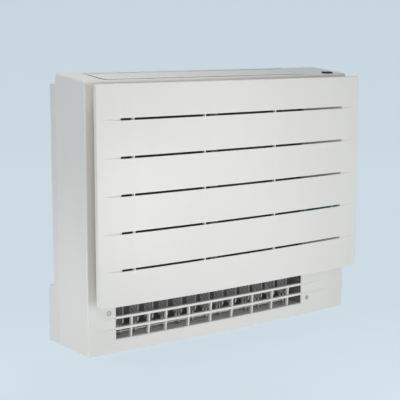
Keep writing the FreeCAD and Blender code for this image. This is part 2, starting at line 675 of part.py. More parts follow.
def rear_casing():
    """Back, base and foot, with the walls of the fan chamber and a flange inside the front casing."""
    front = SEAM_Y + SEAM / 2
    body = foot_outline(0.0).extrude(vec(WIDTH, 0, 0)).translated(vec(-HALF, 0, 0))
    body = body.fuse(block((-HALF, HALF), (front, BACK_Y), (0, REAR_TOP_Z)))
    side = HALF - WALL
    body = body.cut(block((-side, side), (SEAM_Y - LAP, INNER_BACK_Y), (BASE, REAR_TOP_Z - WALL)))
    body = body.cut(foot_outline(WALL).extrude(vec(2 * side, 0, 0)).translated(vec(-side, 0, 0)))
    flange = side - SEAT_GAP
    base = casing_block(WALL + SEAT_GAP, 0.0, front + WALL)
    pan_x, pan_y, spout_x = pan_ranges()
    base = base.common(block((-HALF, HALF), (-FAR, FAR), (0, BASE)))
    spout_y = sum(pan_y) / 2
    drain = rod(DRAIN_HOLE_RADIUS, vec(spout_x, spout_y, -PAST), vec(spout_x, spout_y, BASE + PAST))
    added = [base.cut(drain)]
    for sign in (-1, 1):
        flange_x = span(sign * flange, sign * (flange - WALL))
        web_x = span(sign * (HALF - WALL / 2), sign * (flange - WALL))
        tall = (0, REAR_TOP_Z - LAP)
        added.append(block(flange_x, (SEAM_Y - LAP, front + 2 * WALL), tall))
        added.append(block(web_x, (front, front + 2 * WALL), tall))
    for x_range in partition_ranges():
        added.append(block(x_range, (BELL_BACK_Y, BACK_Y - WALL / 2), (BASE / 2, CHAMBER_TOP)))
    body = join([body] + added)
    left, right = partition_ranges()
    body = body.cut(rod(DAMPER_PIN_RADIUS + RUNNING_GAP, vec(left[0] - PAST, DAMPER_Y, DAMPER_Z),
                        vec(right[1] + PAST, DAMPER_Y, DAMPER_Z)))
    body = body.cut(block(PIPE_OPENING, (FOOT_Y - FOOT_STEP / 2, FOOT_Y + PAST), PIPE_OPENING_Z))
    return body.cut(rod(GROMMET_HOLE, vec(GROMMET_X, INNER_BACK_Y - PAST, GROMMET_Z),
                        vec(GROMMET_X, BACK_Y + PAST, GROMMET_Z)))


def partition_ranges():
    """X ranges of the two walls of the fan chamber."""
    gap = DUCT_WALL + PARTITION_GAP
    return (AIR_LEFT - gap - WALL, AIR_LEFT - gap), (AIR_RIGHT + gap, AIR_RIGHT + gap + WALL)


def outlet_grille():
    """Rim, two long bars and the posts between them, flush with the casing's front."""
    x_range = (AIR_LEFT + SEAT_GAP, AIR_RIGHT - SEAT_GAP)
    z_range = (GRILLE_BOTTOM + SEAT_GAP, GRILLE_TOP - SEAT_GAP)
    rim = casing_band(0.0, GRILLE_DEPTH, x_range, z_range)
    rim = rim.cut(block((x_range[0] + GRILLE_RIM, x_range[1] - GRILLE_RIM), (-FAR, FAR),
                        (z_range[0] + GRILLE_RIM / 2, z_range[1] - GRILLE_RIM / 2)))
    bars = []
    for middle in bar_heights():
        bar_z = (middle - GRILLE_BAR / 2, middle + GRILLE_BAR / 2)
        bars.append(casing_band(0.0, GRILLE_DEPTH, x_range, bar_z))
    middle = AIR_LEFT
    post_z = (z_range[0], bar_heights()[-1])
    for cell in GRILLE_CELLS[:-1]:
        middle += cell * (AIR_RIGHT - AIR_LEFT) / sum(GRILLE_CELLS)
        post_x = (middle - GRILLE_POST / 2, middle + GRILLE_POST / 2)
        bars.append(casing_band(WALL, GRILLE_DEPTH, post_x, post_z))
    return join([rim] + bars)


def panel_block(inset):
    """The panel's outer form, inset at the front and along all its edges."""
    back_y = PANEL_CORNER_Y + PANEL_RETURN + (PAST if inset else 0.0)
    low = PANEL_BOTTOM + inset
    plan = bowed_plan(PANEL_CROWN_Y, PANEL_BOW, inset, back_y, low)
    body = plan.extrude(vec(0, 0, PANEL_TOP - inset - low))
    for height, radius in ((PANEL_TOP - inset, PANEL_TOP_RADIUS), (low, PANEL_BOTTOM_RADIUS)):
        edges = []
        for edge in body.Edges:
            direction = edge.tangentAt(edge.FirstParameter)
            if abs(direction.y) > 0.99 and abs(edge.Vertexes[0].Z - height) < 0.01:
                edges.append(edge)
        body = body.makeFillet(max(radius - inset, radius / 4), edges)
    return body


def slot_heights():
    """Middle of each slot in the panel."""
    return [PANEL_TOP - SLOT_DROP - step * SLOT_PITCH for step in range(SLOT_COUNT)]


def slot_run_out(sign, z):
    """Groove that tapers away beyond the end of a slot."""
    end_x = HALF - SLOT_END_MARGIN
    start = vec(sign * end_x, panel_y(end_x), z)
    tip = vec(sign * (end_x + SLOT_FADE), panel_y(end_x + SLOT_FADE), z)
    axis = tip.sub(start)
    return Part.makeCone(SLOT_GAP / 2 - RUNNING_GAP, SLOT_GAP / 20, axis.Length, start, axis)


def stopper_rails(sign):
    """Rails on the back of the panel that hold a stopper."""
    middle_x, front_y, z = stopper_place(sign)
    half_length = STOPPER_LENGTH / 2 + STOPPER_TRAVEL
    x_range = (middle_x - half_length, middle_x + half_length)
    back_y = front_y + STOPPER_DEPTH + SEAT_GAP
    rails = []
    for side in (-1, 1):
        edge = z + side * (STOPPER_HEIGHT / 2 + SEAT_GAP)
        rail_z = span(edge, edge + side * STOPPER_RAIL)
        wall = block(x_range, (front_y - 2 * WALL, back_y + STOPPER_RAIL), rail_z)
        lip = block(x_range, (back_y, back_y + STOPPER_RAIL), span(edge - side * STOPPER_RAIL, edge))
        rails.append(wall.fuse(lip))
    behind = panel_block(0.0).fuse(block((-HALF, HALF), (PANEL_CORNER_Y, 0), (0, HEIGHT)))
    return [rail.common(behind) for rail in rails]


def front_panel():
    """Bowed shell with five slots, ribs across the slots, hinge lugs and stopper rails."""
    shell = panel_block(0.0).cut(panel_block(WALL))
    end_x = HALF - SLOT_END_MARGIN
    for z in slot_heights():
        shell = shell.cut(block((-end_x, end_x), (-FAR, PANEL_CORNER_Y + PANEL_RETURN),
                                (z - SLOT_GAP / 2, z + SLOT_GAP / 2)))
        for sign in (-1, 1):
            shell = shell.cut(slot_run_out(sign, z))
    added = []
    tall = (PANEL_BOTTOM + WALL / 2, PANEL_TOP - WALL / 2)
    for share in PANEL_RIB_SHARES:
        x = share * HALF
        front = panel_y(abs(x) - PANEL_RIB / 2, WALL / 2)
        rib_x = (x - PANEL_RIB / 2, x + PANEL_RIB / 2)
        added.append(block(rib_x, (front, front + PANEL_RIB_DEPTH), tall))
    for sign in (-1, 1):
        x_range = (hinge_x(sign) - HINGE_LUG / 2, hinge_x(sign) + HINGE_LUG / 2)
        z_range = (HINGE_Z - HINGE_EYE_RADIUS, HINGE_Z + HINGE_EYE_RADIUS)
        added.append(block(x_range, (panel_y(HALF - HINGE_INSET, WALL), HINGE_Y), z_range))
        eye = (vec(x_range[0], HINGE_Y, HINGE_Z), vec(x_range[1], HINGE_Y, HINGE_Z))
        added.append(rod(HINGE_EYE_RADIUS, eye[0], eye[1]))
        added += stopper_rails(sign)
    shell = join([shell] + added)
    for sign in (-1, 1):
        bore = HINGE_PIN_RADIUS + RUNNING_GAP
        left = vec(hinge_x(sign) - HINGE_LUG, HINGE_Y, HINGE_Z)
        shell = shell.cut(rod(bore, left, left.add(vec(2 * HINGE_LUG, 0, 0))))
    return shell


def panel_hinge_pins():
    """Pins in the casing's ears that the panel turns on."""
    pins = []
    reach = HINGE_LUG / 2 + HINGE_SIDE_GAP + HINGE_EAR
    for sign in (-1, 1):
        pins.append(rod(HINGE_PIN_RADIUS, vec(hinge_x(sign) - reach, HINGE_Y, HINGE_Z),
                        vec(hinge_x(sign) + reach, HINGE_Y, HINGE_Z)))
    return Part.makeCompound(pins)


def panel_stopper(sign):
    """Sliding block with a finger and a nose that goes behind the catch."""
    middle_x, front_y, z = stopper_place(sign)
    back_y = front_y + STOPPER_DEPTH
    body = block((middle_x - STOPPER_LENGTH / 2, middle_x + STOPPER_LENGTH / 2), (front_y, back_y),
                 (z - STOPPER_HEIGHT / 2, z + STOPPER_HEIGHT / 2))
    finger_z = (z - STOPPER_FINGER / 2, z + STOPPER_FINGER / 2)
    finger_x = (middle_x - STOPPER_FINGER / 2, middle_x + STOPPER_FINGER / 2)
    finger = block(finger_x, (back_y, back_y + STOPPER_REACH), finger_z)
    nose_x = middle_x + sign * STOPPER_FINGER / 2
    nose = block(span(nose_x, nose_x + sign * STOPPER_HOLD),
                 (back_y + STOPPER_REACH - STOPPER_NOSE, back_y + STOPPER_REACH), finger_z)
    return join([body, finger, nose])


def air_filter(sign):
    """Filter with a border, crossing ribs and a thin net."""
    edges = (AIR_LEFT, AIR_RIGHT)[(sign + 1) // 2]
    inner = AIR_MIDDLE + sign * (BAY_MULLION / 2 + SEAT_GAP)
    x_range = span(edges - sign * SEAT_GAP, inner)
    z_range = (BAY_BOTTOM + SEAT_GAP, BAY_TOP - SEAT_GAP)
    back_y = BAY_BACK_Y - BAY_WALL
    frame = block(x_range, (back_y - FILTER_THICKNESS, back_y), z_range)
    width = (x_range[1] - x_range[0] - 2 * FILTER_BORDER + FILTER_RIB) / FILTER_COLUMNS
    height = (z_range[1] - z_range[0] - 2 * FILTER_BORDER + FILTER_RIB) / FILTER_ROWS
    gaps = []
    for column in range(FILTER_COLUMNS):
        left = x_range[0] + FILTER_BORDER + column * width
        for row in range(FILTER_ROWS):
            low = z_range[0] + FILTER_BORDER + row * height
            gap_y = (back_y - FILTER_THICKNESS - PAST, back_y - FILTER_NET)
            gaps.append(block((left, left + width - FILTER_RIB), gap_y, (low, low + height - FILTER_RIB)))
    return frame.cut(gaps)


def fin_positions():
    """X of each fin."""
    first = AIR_LEFT + FIN_MARGIN
    step = (AIR_RIGHT - FIN_MARGIN - first) / (FIN_COUNT - 1)
    return [first + step * index for index in range(FIN_COUNT)]


def tube_places():
    """Y and Z of each tube, row by row."""
    low = PAN_TOP + TUBE_PAN_GAP
    pitch = (EXCHANGER_TOP - TUBE_END_MARGIN - low) / (TUBES_PER_ROW - 1)
    rows = []
    for row in range(TUBE_ROWS):
        y = EXCHANGER_FRONT_Y + FIN_DEPTH * (row + 0.5) / TUBE_ROWS
        rows.append([(y, low + pitch * index) for index in range(TUBES_PER_ROW)])
    return rows, pitch


def pierced_plate(x, thickness, back_y):
    """One upright plate with a hole for every tube."""
    plate = block((x, x + thickness), (EXCHANGER_FRONT_Y, back_y), (EXCHANGER_FOOT, EXCHANGER_TOP))
    rows, pitch = tube_places()
    holes = []
    for row in rows:
        for y, z in row:
            end = vec(x + thickness + PAST, y, z)
            holes.append(rod(TUBE_RADIUS + TUBE_CLEARANCE, vec(x - PAST, y, z), end))
    return plate.cut(holes)


def exchanger_fins():
    """Stack of fins on the tubes."""
    places = fin_positions()
    fin = pierced_plate(places[0], FIN_THICKNESS, EXCHANGER_BACK_Y)
    return Part.makeCompound([fin.translated(vec(x - places[0], 0, 0)) for x in places])


def exchanger_plates():
    """End plates that stand in the drain pan and are fixed to the bell mouth."""
    left = pierced_plate(AIR_LEFT, EXCHANGER_PLATE, BELL_FRONT_Y)
    notch_x = (AIR_LEFT - PAST, AIR_LEFT + EXCHANGER_PLATE + PAST)
    left = left.cut(block(notch_x, (EXCHANGER_BACK_Y, FAR), (0, PAN_TOP + SEAT_GAP)))
    right = left.translated(vec(AIR_RIGHT - EXCHANGER_PLATE - AIR_LEFT, 0, 0))
    return Part.makeCompound([left, right])


def exchanger_tubes():
    """Two rows of tubes, each one serpentine with return bends at alternate ends."""
    rows, pitch = tube_places()
    ends = (AIR_LEFT - TUBE_OVERHANG, AIR_RIGHT + TUBE_OVERHANG)
    serpentines = []
    for row in rows:
        shapes = []
        for index, (y, z) in enumerate(row):
            shapes.append(rod(TUBE_RADIUS, vec(ends[0], y, z), vec(ends[1], y, z)))
            if index + 1 < len(row):
                end = ends[index % 2]
                bend = Part.makeTorus(pitch / 2, TUBE_RADIUS, vec(end, y, z + pitch / 2), vec(0, 1, 0))
                half = block(span(end, end + (FAR if index % 2 else -FAR)), (-FAR, FAR), (0, HEIGHT))
                shapes.append(bend.common(half))
        serpentines.append(join(shapes))
    return Part.makeCompound(serpentines)


def bent_path(points, bend):
    """Straight runs through the points, joined by tangent arcs."""
    edges = []
    start = points[0]
    for index in range(1, len(points) - 1):
        corner = points[index]
        before = points[index - 1].sub(corner).normalize()
        after = points[index + 1].sub(corner).normalize()
        half_angle = before.getAngle(after) / 2
        reach = bend / math.tan(half_angle)
        middle = before.add(after).normalize().multiply(bend / math.sin(half_angle) - bend)
        arc_start = corner.add(FreeCAD.Vector(before).multiply(reach))
        arc_end = corner.add(FreeCAD.Vector(after).multiply(reach))
        edges.append(Part.LineSegment(start, arc_start).toShape())
        edges.append(Part.Arc(arc_start, corner.add(middle), arc_end).toShape())
        start = arc_end
    edges.append(Part.LineSegment(start, points[-1]).toShape())
    return Part.Wire(edges)


def pipe_sizes():
    """Radius, thread radius, X of the rear run and row of the exchanger of each pipe."""
    return (LIQUID_RADIUS, LIQUID_THREAD_RADIUS, LIQUID_X, 0), (GAS_RADIUS, GAS_THREAD_RADIUS, GAS_X, 1)


def refrigerant_pipes():
    """Pipes from the exchanger down the control bay to the opening in the foot."""
    rows, pitch = tube_places()
    pipes = []
    for radius, thread, x, row in pipe_sizes():
        y, z = rows[row][0]
        start = vec(AIR_RIGHT + TUBE_OVERHANG, y, z)
        end_y = FOOT_Y - PIPE_END_GAP - THREAD_LENGTH
        path = bent_path([start, vec(x, y, z), vec(x, y, PIPE_Z), vec(x, end_y, PIPE_Z)], PIPE_BEND)
        profile = Part.Wire([Part.makeCircle(radius, start, vec(1, 0, 0))])
        pipes.append(path.makePipeShell([profile], True, False))
    return Part.makeCompound(pipes)


def flare_unions():
    """Unions on the ends of the pipes, each with a hexagon and a threaded stub."""
    unions = []
    for radius, thread, x, row in pipe_sizes():
        end = FOOT_Y - PIPE_END_GAP
        back = end - THREAD_LENGTH
        body = hexagon(thread + UNION_WALL, vec(x, back - UNION_LENGTH, PIPE_Z), vec(x, back, PIPE_Z))
        body = body.cut(rod(radius + PIN_SEAT_GAP, vec(x, 0, PIPE_Z), vec(x, back, PIPE_Z)))
        stub = ring(thread, radius, vec(x, back, PIPE_Z), vec(x, end, PIPE_Z))
        unions.append(join([body, stub]))
    return Part.makeCompound(unions)


def pan_ranges():
    """X and Y ranges of the drain pan and X of its spout."""
    x_range = (AIR_LEFT - PAN_END, AIR_RIGHT + PAN_SPOUT_END)
    y_range = (BAY_BACK_Y - PAN_FRONT_LAP, BELL_FRONT_Y - SEAT_GAP)
    return x_range, y_range, x_range[1] - PAN_WALL - SPOUT_RADIUS


def drain_pan():
    """Tray under the exchanger with a hole over its spout."""
    x_range, y_range, spout_x = pan_ranges()
    tray = block(x_range, y_range, (PAN_BOTTOM, PAN_TOP))
    inner_x = (x_range[0] + PAN_WALL, x_range[1] - PAN_WALL)
    inner_y = (y_range[0] + PAN_WALL, y_range[1] - PAN_WALL)
    tray = tray.cut(block(inner_x, inner_y, (PAN_BOTTOM + PAN_WALL, PAN_TOP + PAST)))
    middle_y = sum(y_range) / 2
    under = vec(spout_x, middle_y, PAN_BOTTOM - PAST)
    return tray.cut(rod(SPOUT_BORE, under, vec(spout_x, middle_y, PAN_TOP)))


def drain_spout():
    """Flanged spout under the pan for a drain hose."""
    x_range, y_range, x = pan_ranges()
    y = sum(y_range) / 2
    flange = rod(SPOUT_FLANGE, vec(x, y, PAN_BOTTOM - SPOUT_FLANGE_HEIGHT), vec(x, y, PAN_BOTTOM))
    spout = rod(SPOUT_RADIUS, vec(x, y, PAN_BOTTOM - SPOUT_LENGTH), vec(x, y, PAN_BOTTOM))
    bore = rod(SPOUT_BORE, vec(x, y, 0), vec(x, y, PAN_TOP))
    return join([flange, spout]).cut(bore)


def bell_mouth():
    """Partition with the round inlet of the fan."""
    partitions = partition_ranges()
    plate_x = (partitions[0][0], partitions[1][1])
    plate = block(plate_x, (BELL_FRONT_Y, BELL_BACK_Y), (PAN_BOTTOM, CHAMBER_TOP))
    throat_radius = FAN_EYE_RADIUS - FAN_INLET_GAP
    centre = vec(AIR_MIDDLE, BELL_FRONT_Y, FAN_Z)
    throat = rod(throat_radius, centre, vec(AIR_MIDDLE, BELL_BACK_Y + BELL_THROAT, FAN_Z))
    hole = rod(throat_radius - WALL, vec(AIR_MIDDLE, -FAR, FAN_Z), vec(AIR_MIDDLE, FAR, FAN_Z))
    return join([plate, throat]).cut(hole)


def fan_blade(angle):
    """One blade that trails from the eye to the rim."""
    points = []
    start = FAN_EYE_RADIUS - FAN_INLET_GAP
    reach = FAN_RADIUS - FAN_BLADE - start
    for share, sweep in FAN_BLADE_CURVE:
        radius = start + share * reach
        turn = math.radians(angle - FAN_BLADE_SWEEP * sweep)
        points.append((radius, turn))
    front = []
    back = []
    for radius, turn in points:
        offset = FAN_BLADE / radius
        front.append(vec(AIR_MIDDLE + radius * math.cos(turn), FAN_FRONT_Y, FAN_Z + radius * math.sin(turn)))
        back.append(vec(AIR_MIDDLE + radius * math.cos(turn + offset), FAN_FRONT_Y,
                        FAN_Z + radius * math.sin(turn + offset)))
    edges = [
        Part.Arc(front[0], front[1], front[2]).toShape(),
        Part.LineSegment(front[2], back[2]).toShape(),
        Part.Arc(back[2], back[1], back[0]).toShape(),
        Part.LineSegment(back[0], front[0]).toShape(),
    ]
    return Part.Face(Part.Wire(edges)).extrude(vec(0, FAN_WIDTH - FAN_SKIN / 2, 0))


def turbo_fan():
    """Centrifugal fan: back plate, hub, blades, shroud and inlet collar."""
    def at(y):
        return vec(AIR_MIDDLE, y, FAN_Z)

    shroud = ring(FAN_RADIUS, FAN_EYE_RADIUS, at(FAN_FRONT_Y), at(FAN_FRONT_Y + FAN_SKIN))
    collar = ring(FAN_EYE_RADIUS + FAN_SKIN, FAN_EYE_RADIUS, at(FAN_FRONT_Y - FAN_COLLAR),
                  at(FAN_FRONT_Y + FAN_SKIN))
    plate = rod(FAN_RADIUS, at(FAN_BACK_Y - FAN_SKIN), at(FAN_BACK_Y))
    hub = rod(HUB_RADIUS, at(FAN_BACK_Y - HUB_LENGTH), at(FAN_BACK_Y))
    blades = [fan_blade(360.0 * index / FAN_BLADES) for index in range(FAN_BLADES)]
    wheel = join([shroud, collar, plate, hub] + blades)
    return wheel.cut(rod(SHAFT_RADIUS + PIN_SEAT_GAP, at(-FAR), at(FAR)))


def fan_shaft():
    """Shaft through the motor, the hub and the nut."""
    nose = FAN_BACK_Y - HUB_LENGTH - SHAFT_NOSE
    tail = MOTOR_BACK_Y - 2 * BEARING_INSET
    return rod(SHAFT_RADIUS, vec(AIR_MIDDLE, nose, FAN_Z), vec(AIR_MIDDLE, tail, FAN_Z))


def fan_nut():
    """Nut that holds the fan on the shaft."""
    back = FAN_BACK_Y - HUB_LENGTH
    nut = hexagon(NUT_RADIUS, vec(AIR_MIDDLE, back - NUT_HEIGHT, FAN_Z), vec(AIR_MIDDLE, back, FAN_Z))
    bore = SHAFT_RADIUS + PIN_SEAT_GAP
    return nut.cut(rod(bore, vec(AIR_MIDDLE, -FAR, FAN_Z), vec(AIR_MIDDLE, FAR, FAN_Z)))


def bearing_spans():
    """Y ranges of the two bearings in the motor."""
    front = MOTOR_FRONT_Y + BEARING_INSET
    back = MOTOR_BACK_Y - 2 * BEARING_INSET
    return (front, front + BEARING_WIDTH), (back - BEARING_WIDTH, back)


def motor_bearings():
    """Ball bearings of the motor, each as one ring."""
    bore = SHAFT_RADIUS + RUNNING_GAP
    rings = []
    for low, high in bearing_spans():
        rings.append(ring(BEARING_RADIUS, bore, vec(AIR_MIDDLE, low, FAN_Z), vec(AIR_MIDDLE, high, FAN_Z)))
    return Part.makeCompound(rings)


def screw_places():
    """X and Z of the motor's screws."""
    places = []
    for step in range(MOTOR_SCREWS):
        angle = 2 * math.pi * (step + 0.5) / MOTOR_SCREWS
        x = AIR_MIDDLE + SCREW_CIRCLE * math.cos(angle)
        places.append((x, FAN_Z + SCREW_CIRCLE * math.sin(angle)))
    return places


def fan_motor():
    """Motor housing with seats for its bearings and a flange."""
    def at(y):
        return vec(AIR_MIDDLE, y, FAN_Z)

    body = rod(MOTOR_RADIUS, at(MOTOR_FRONT_Y), at(MOTOR_BACK_Y))
    flange = rod(MOTOR_FLANGE_RADIUS, at(MOTOR_BACK_Y - MOTOR_FLANGE), at(MOTOR_BACK_Y))
    housing = join([body, flange])
    bearings = bearing_spans()
    bore = SHAFT_RADIUS + MOTOR_BORE_GAP
    housing = housing.cut(rod(bore, at(MOTOR_FRONT_Y - PAST), at(MOTOR_BACK_Y - BEARING_INSET)))
    for low, high in bearings:
        housing = housing.cut(rod(BEARING_RADIUS + PIN_SEAT_GAP, at(low), at(high)))
    holes = [rod(SCREW_RADIUS + PIN_SEAT_GAP, vec(x, 0, z), vec(x, FAR, z)) for x, z in screw_places()]
    return housing.cut(holes)


def motor_bracket():
    """Round plate between the motor and the back of the casing."""
    front = vec(AIR_MIDDLE, MOTOR_BACK_Y, FAN_Z)
    plate = rod(MOTOR_FLANGE_RADIUS, front, vec(AIR_MIDDLE, INNER_BACK_Y, FAN_Z))
    holes = [rod(SCREW_RADIUS + PIN_SEAT_GAP, vec(x, 0, z), vec(x, FAR, z)) for x, z in screw_places()]
    return plate.cut(holes)


def motor_screws():
    """Screws through the motor's flange and bracket."""
    screws = []
    front = MOTOR_BACK_Y - MOTOR_FLANGE
    for x, z in screw_places():
        head = rod(SCREW_HEAD_RADIUS, vec(x, front - SCREW_HEAD, z), vec(x, front, z))
        shank = rod(SCREW_RADIUS, vec(x, front - SCREW_HEAD, z), vec(x, INNER_BACK_Y, z))
        screws.append(join([head, shank]))
    return Part.makeCompound(screws)


def air_guides():
    """Curved walls beside the fan that send its air up and down."""
    inner = FAN_RADIUS + GUIDE_GAP
    front = vec(AIR_MIDDLE, BELL_BACK_Y, FAN_Z)
    tube = ring(inner + WALL, inner, front, vec(AIR_MIDDLE, INNER_BACK_Y, FAN_Z))
    reach = inner * math.sin(math.radians(GUIDE_ANGLE))
    walls = []
    for sign in (-1, 1):
        side = block(span(AIR_MIDDLE, AIR_MIDDLE + sign * FAR), (-FAR, FAR), (FAN_Z - reach, FAN_Z + reach))
        walls.append(tube.common(side))
    return Part.makeCompound(walls)


def upper_duct():
    """Duct under the flap, with fixed guide vanes and the bores of the flap's pins."""
    flap_x, flap_y = flap_opening()
    outer_x = (flap_x[0] - WALL, flap_x[1] + WALL)
    outer_y = (flap_y[0] - WALL, flap_y[1] + WALL)
    walls = block(outer_x, outer_y, (CHAMBER_TOP, HEIGHT))
    walls = walls.cut(block(flap_x, flap_y, (CHAMBER_TOP - PAST, HEIGHT + PAST)))
    partitions = partition_ranges()
    sill = block((min(outer_x[0], partitions[0][0]), max(outer_x[1], partitions[1][1])),
                 (outer_y[0], INNER_BACK_Y - SEAT_GAP), (CHAMBER_TOP, CHAMBER_TOP + WALL))
    sill = sill.cut(block((AIR_LEFT, AIR_RIGHT), flap_y, (0, HEIGHT)))
    shapes = [walls, sill]
    pitch = (flap_x[1] - flap_x[0]) / (UPPER_VANES + 1)
    for index in range(1, UPPER_VANES + 1):
        middle = flap_x[0] + pitch * index
        shapes.append(block((middle - UPPER_VANE / 2, middle + UPPER_VANE / 2), flap_y,
                            (CHAMBER_TOP + WALL, CHAMBER_TOP + WALL + UPPER_VANE_HEIGHT)))
    duct = under_top(join(shapes), WALL + SEAT_GAP)
    hinge, along, square = flap_frame()
    bore = FLAP_PIN_RADIUS + RUNNING_GAP
    return duct.cut(rod(bore, vec(-HALF, hinge[0], hinge[1]), vec(HALF, hinge[0], hinge[1])))


def top_flap():
    """Flap with a rounded hinge edge and a pin at each end."""
    hinge, along, square = flap_frame()

    def at(reach, rise):
        y = hinge[0] + reach * along[0] + rise * square[0]
        return vec(FLAP_LEFT, y, hinge[1] + reach * along[1] + rise * square[1])

    under = FLAP_KNUCKLE - FLAP_THICKNESS
    meet = -math.sqrt(FLAP_KNUCKLE ** 2 - under ** 2)
    corner = math.sqrt(0.5) * FLAP_KNUCKLE
    corners = [at(0, FLAP_KNUCKLE), at(-FLAP_REACH, FLAP_KNUCKLE), at(-FLAP_REACH, under), at(meet, under)]
    lines = Part.makePolygon(corners)
    round_edge = Part.Arc(at(meet, under), at(corner, -corner), at(0, FLAP_KNUCKLE)).toShape()
    plate = Part.Face(Part.Wire(lines.Edges + [round_edge])).extrude(vec(FLAP_RIGHT - FLAP_LEFT, 0, 0))
    pin_start = vec(FLAP_LEFT - FLAP_PIN, hinge[0], hinge[1])
    pin = rod(FLAP_PIN_RADIUS, pin_start, vec(FLAP_RIGHT + FLAP_PIN, hinge[0], hinge[1]))
    return join([plate, pin])


def gearmotor(start, drop, pin_radius, pin_end_x):
    """Small gear motor on a wall, with a socket for a pin along X and its body a drop below the pin."""
    body_z = start.z - drop
    body_end = vec(start.x + GEARMOTOR_LENGTH, start.y, body_z)
    body = rod(GEARMOTOR_RADIUS, vec(start.x, start.y, body_z), body_end)
    ear_reach = GEARMOTOR_RADIUS + GEARMOTOR_EAR_REACH
    ears = block((start.x, start.x + GEARMOTOR_EAR_THICKNESS), (start.y - ear_reach, start.y + ear_reach),
                 (body_z - GEARMOTOR_EAR, body_z + GEARMOTOR_EAR))
    socket_end = vec(pin_end_x + SEAT_GAP, start.y, start.z)
    socket = rod(pin_radius + SEAT_GAP, vec(start.x - PAST, start.y, start.z), socket_end)
    return join([body, ears]).cut(socket)


def flap_motor():
    """Gear motor on the right end of the upper duct."""
    hinge, along, square = flap_frame()
    flap_x, flap_y = flap_opening()
    start = vec(flap_x[1] + WALL, hinge[0], hinge[1])
    motor = gearmotor(start, GEARMOTOR_RADIUS - FLAP_KNUCKLE, FLAP_PIN_RADIUS, FLAP_RIGHT + FLAP_PIN)
    return under_top(motor, WALL + SEAT_GAP)


def damper_motor():
    """Gear motor on the right wall of the fan chamber."""
    wall_x = partition_ranges()[1][1]
    return gearmotor(vec(wall_x, DAMPER_Y, DAMPER_Z), 0.0, DAMPER_PIN_RADIUS, wall_x + DAMPER_PIN)


def lower_damper():
    """Butterfly plate across the mouth of the lower duct, with a pin at each end."""
    half = (INNER_BACK_Y - BELL_BACK_Y) / 2 - DAMPER_GAP
    thick = DAMPER_THICKNESS / 2
    plate = block((AIR_LEFT + DUCT_WALL, AIR_RIGHT - DUCT_WALL), (DAMPER_Y - half, DAMPER_Y + half),
                  (DAMPER_Z - thick, DAMPER_Z + thick))
    partitions = partition_ranges()
    pin = rod(DAMPER_PIN_RADIUS, vec(partitions[0][0], DAMPER_Y, DAMPER_Z),
              vec(partitions[1][1] + DAMPER_PIN, DAMPER_Y, DAMPER_Z))
    return join([plate, pin])


def louver_places():
    """X of each louver's pivot, and Y of all of them."""
    y = casing_y(AIR_LEFT, GRILLE_DEPTH) + CATCH_GAP + LOUVER_CHORD / 2
    return [AIR_LEFT + LOUVER_END + index * LOUVER_PITCH for index in range(LOUVER_COUNT)], y


def lower_duct():
    """Duct from the fan chamber to the grille, with the bores of the louvers' pins."""
    floor = GRILLE_BOTTOM
    low = floor - DUCT_WALL
    back = INNER_BACK_Y - SEAT_GAP
    turn_y = back - DUCT_WALL - DUCT_TURN
    corner = math.sqrt(0.5)
    outer = DUCT_TURN + DUCT_WALL
    centre_z = floor + DUCT_TURN

    def at(y, z):
        return vec(AIR_LEFT - DUCT_WALL, y, z)

    inner_arc = Part.Arc(at(turn_y, floor), at(turn_y + corner * DUCT_TURN, centre_z - corner * DUCT_TURN),
                         at(turn_y + DUCT_TURN, centre_z)).toShape()
    outer_arc = Part.Arc(at(turn_y, low), at(turn_y + corner * outer, centre_z - corner * outer),
                         at(turn_y + outer, centre_z)).toShape()
    front_lines = Part.makePolygon([at(turn_y, low), at(-FAR, low), at(-FAR, floor), at(turn_y, floor)])
    top = PAN_BOTTOM
    back_lines = Part.makePolygon([at(turn_y + DUCT_TURN, centre_z), at(turn_y + DUCT_TURN, top - DUCT_WALL),
                                   at(turn_y + outer, top - DUCT_WALL), at(turn_y + outer, centre_z)])
    outline = Part.Wire(Part.__sortEdges__(front_lines.Edges + [inner_arc] + back_lines.Edges + [outer_arc]))
    width = AIR_RIGHT - AIR_LEFT + 2 * DUCT_WALL
    shapes = [Part.Face(outline).extrude(vec(width, 0, 0))]
    pan_y = pan_ranges()[1]
    roof_x = (AIR_LEFT - DUCT_WALL, AIR_RIGHT + DUCT_WALL)
    shapes.append(block(roof_x, (-FAR, pan_y[1]), (GRILLE_TOP, PAN_BOTTOM)))
    for x in (AIR_LEFT - DUCT_WALL, AIR_RIGHT):
        shapes.append(block((x, x + DUCT_WALL), (-FAR, turn_y), (BASE, top)))
        shapes.append(block((x, x + DUCT_WALL), (turn_y, back), (floor + DUCT_TURN, top - DUCT_WALL)))
        shapes.append(block((x, x + DUCT_WALL), (turn_y, turn_y + DUCT_TURN), (floor, top - DUCT_WALL)))
    places, louver_y = louver_places()
    boss = 2 * LOUVER_PIN_RADIUS
    for x in places:
        shapes.append(rod(boss, vec(x, louver_y, low), vec(x, louver_y, floor + LINK_LIFT)))
    duct = join(shapes).common(casing_core(GRILLE_DEPTH + SEAT_GAP, 0.0, BACK_Y))
    bore = LOUVER_PIN_RADIUS + RUNNING_GAP
    return duct.cut([rod(bore, vec(x, louver_y, BASE), vec(x, louver_y, PAN_BOTTOM)) for x in places])


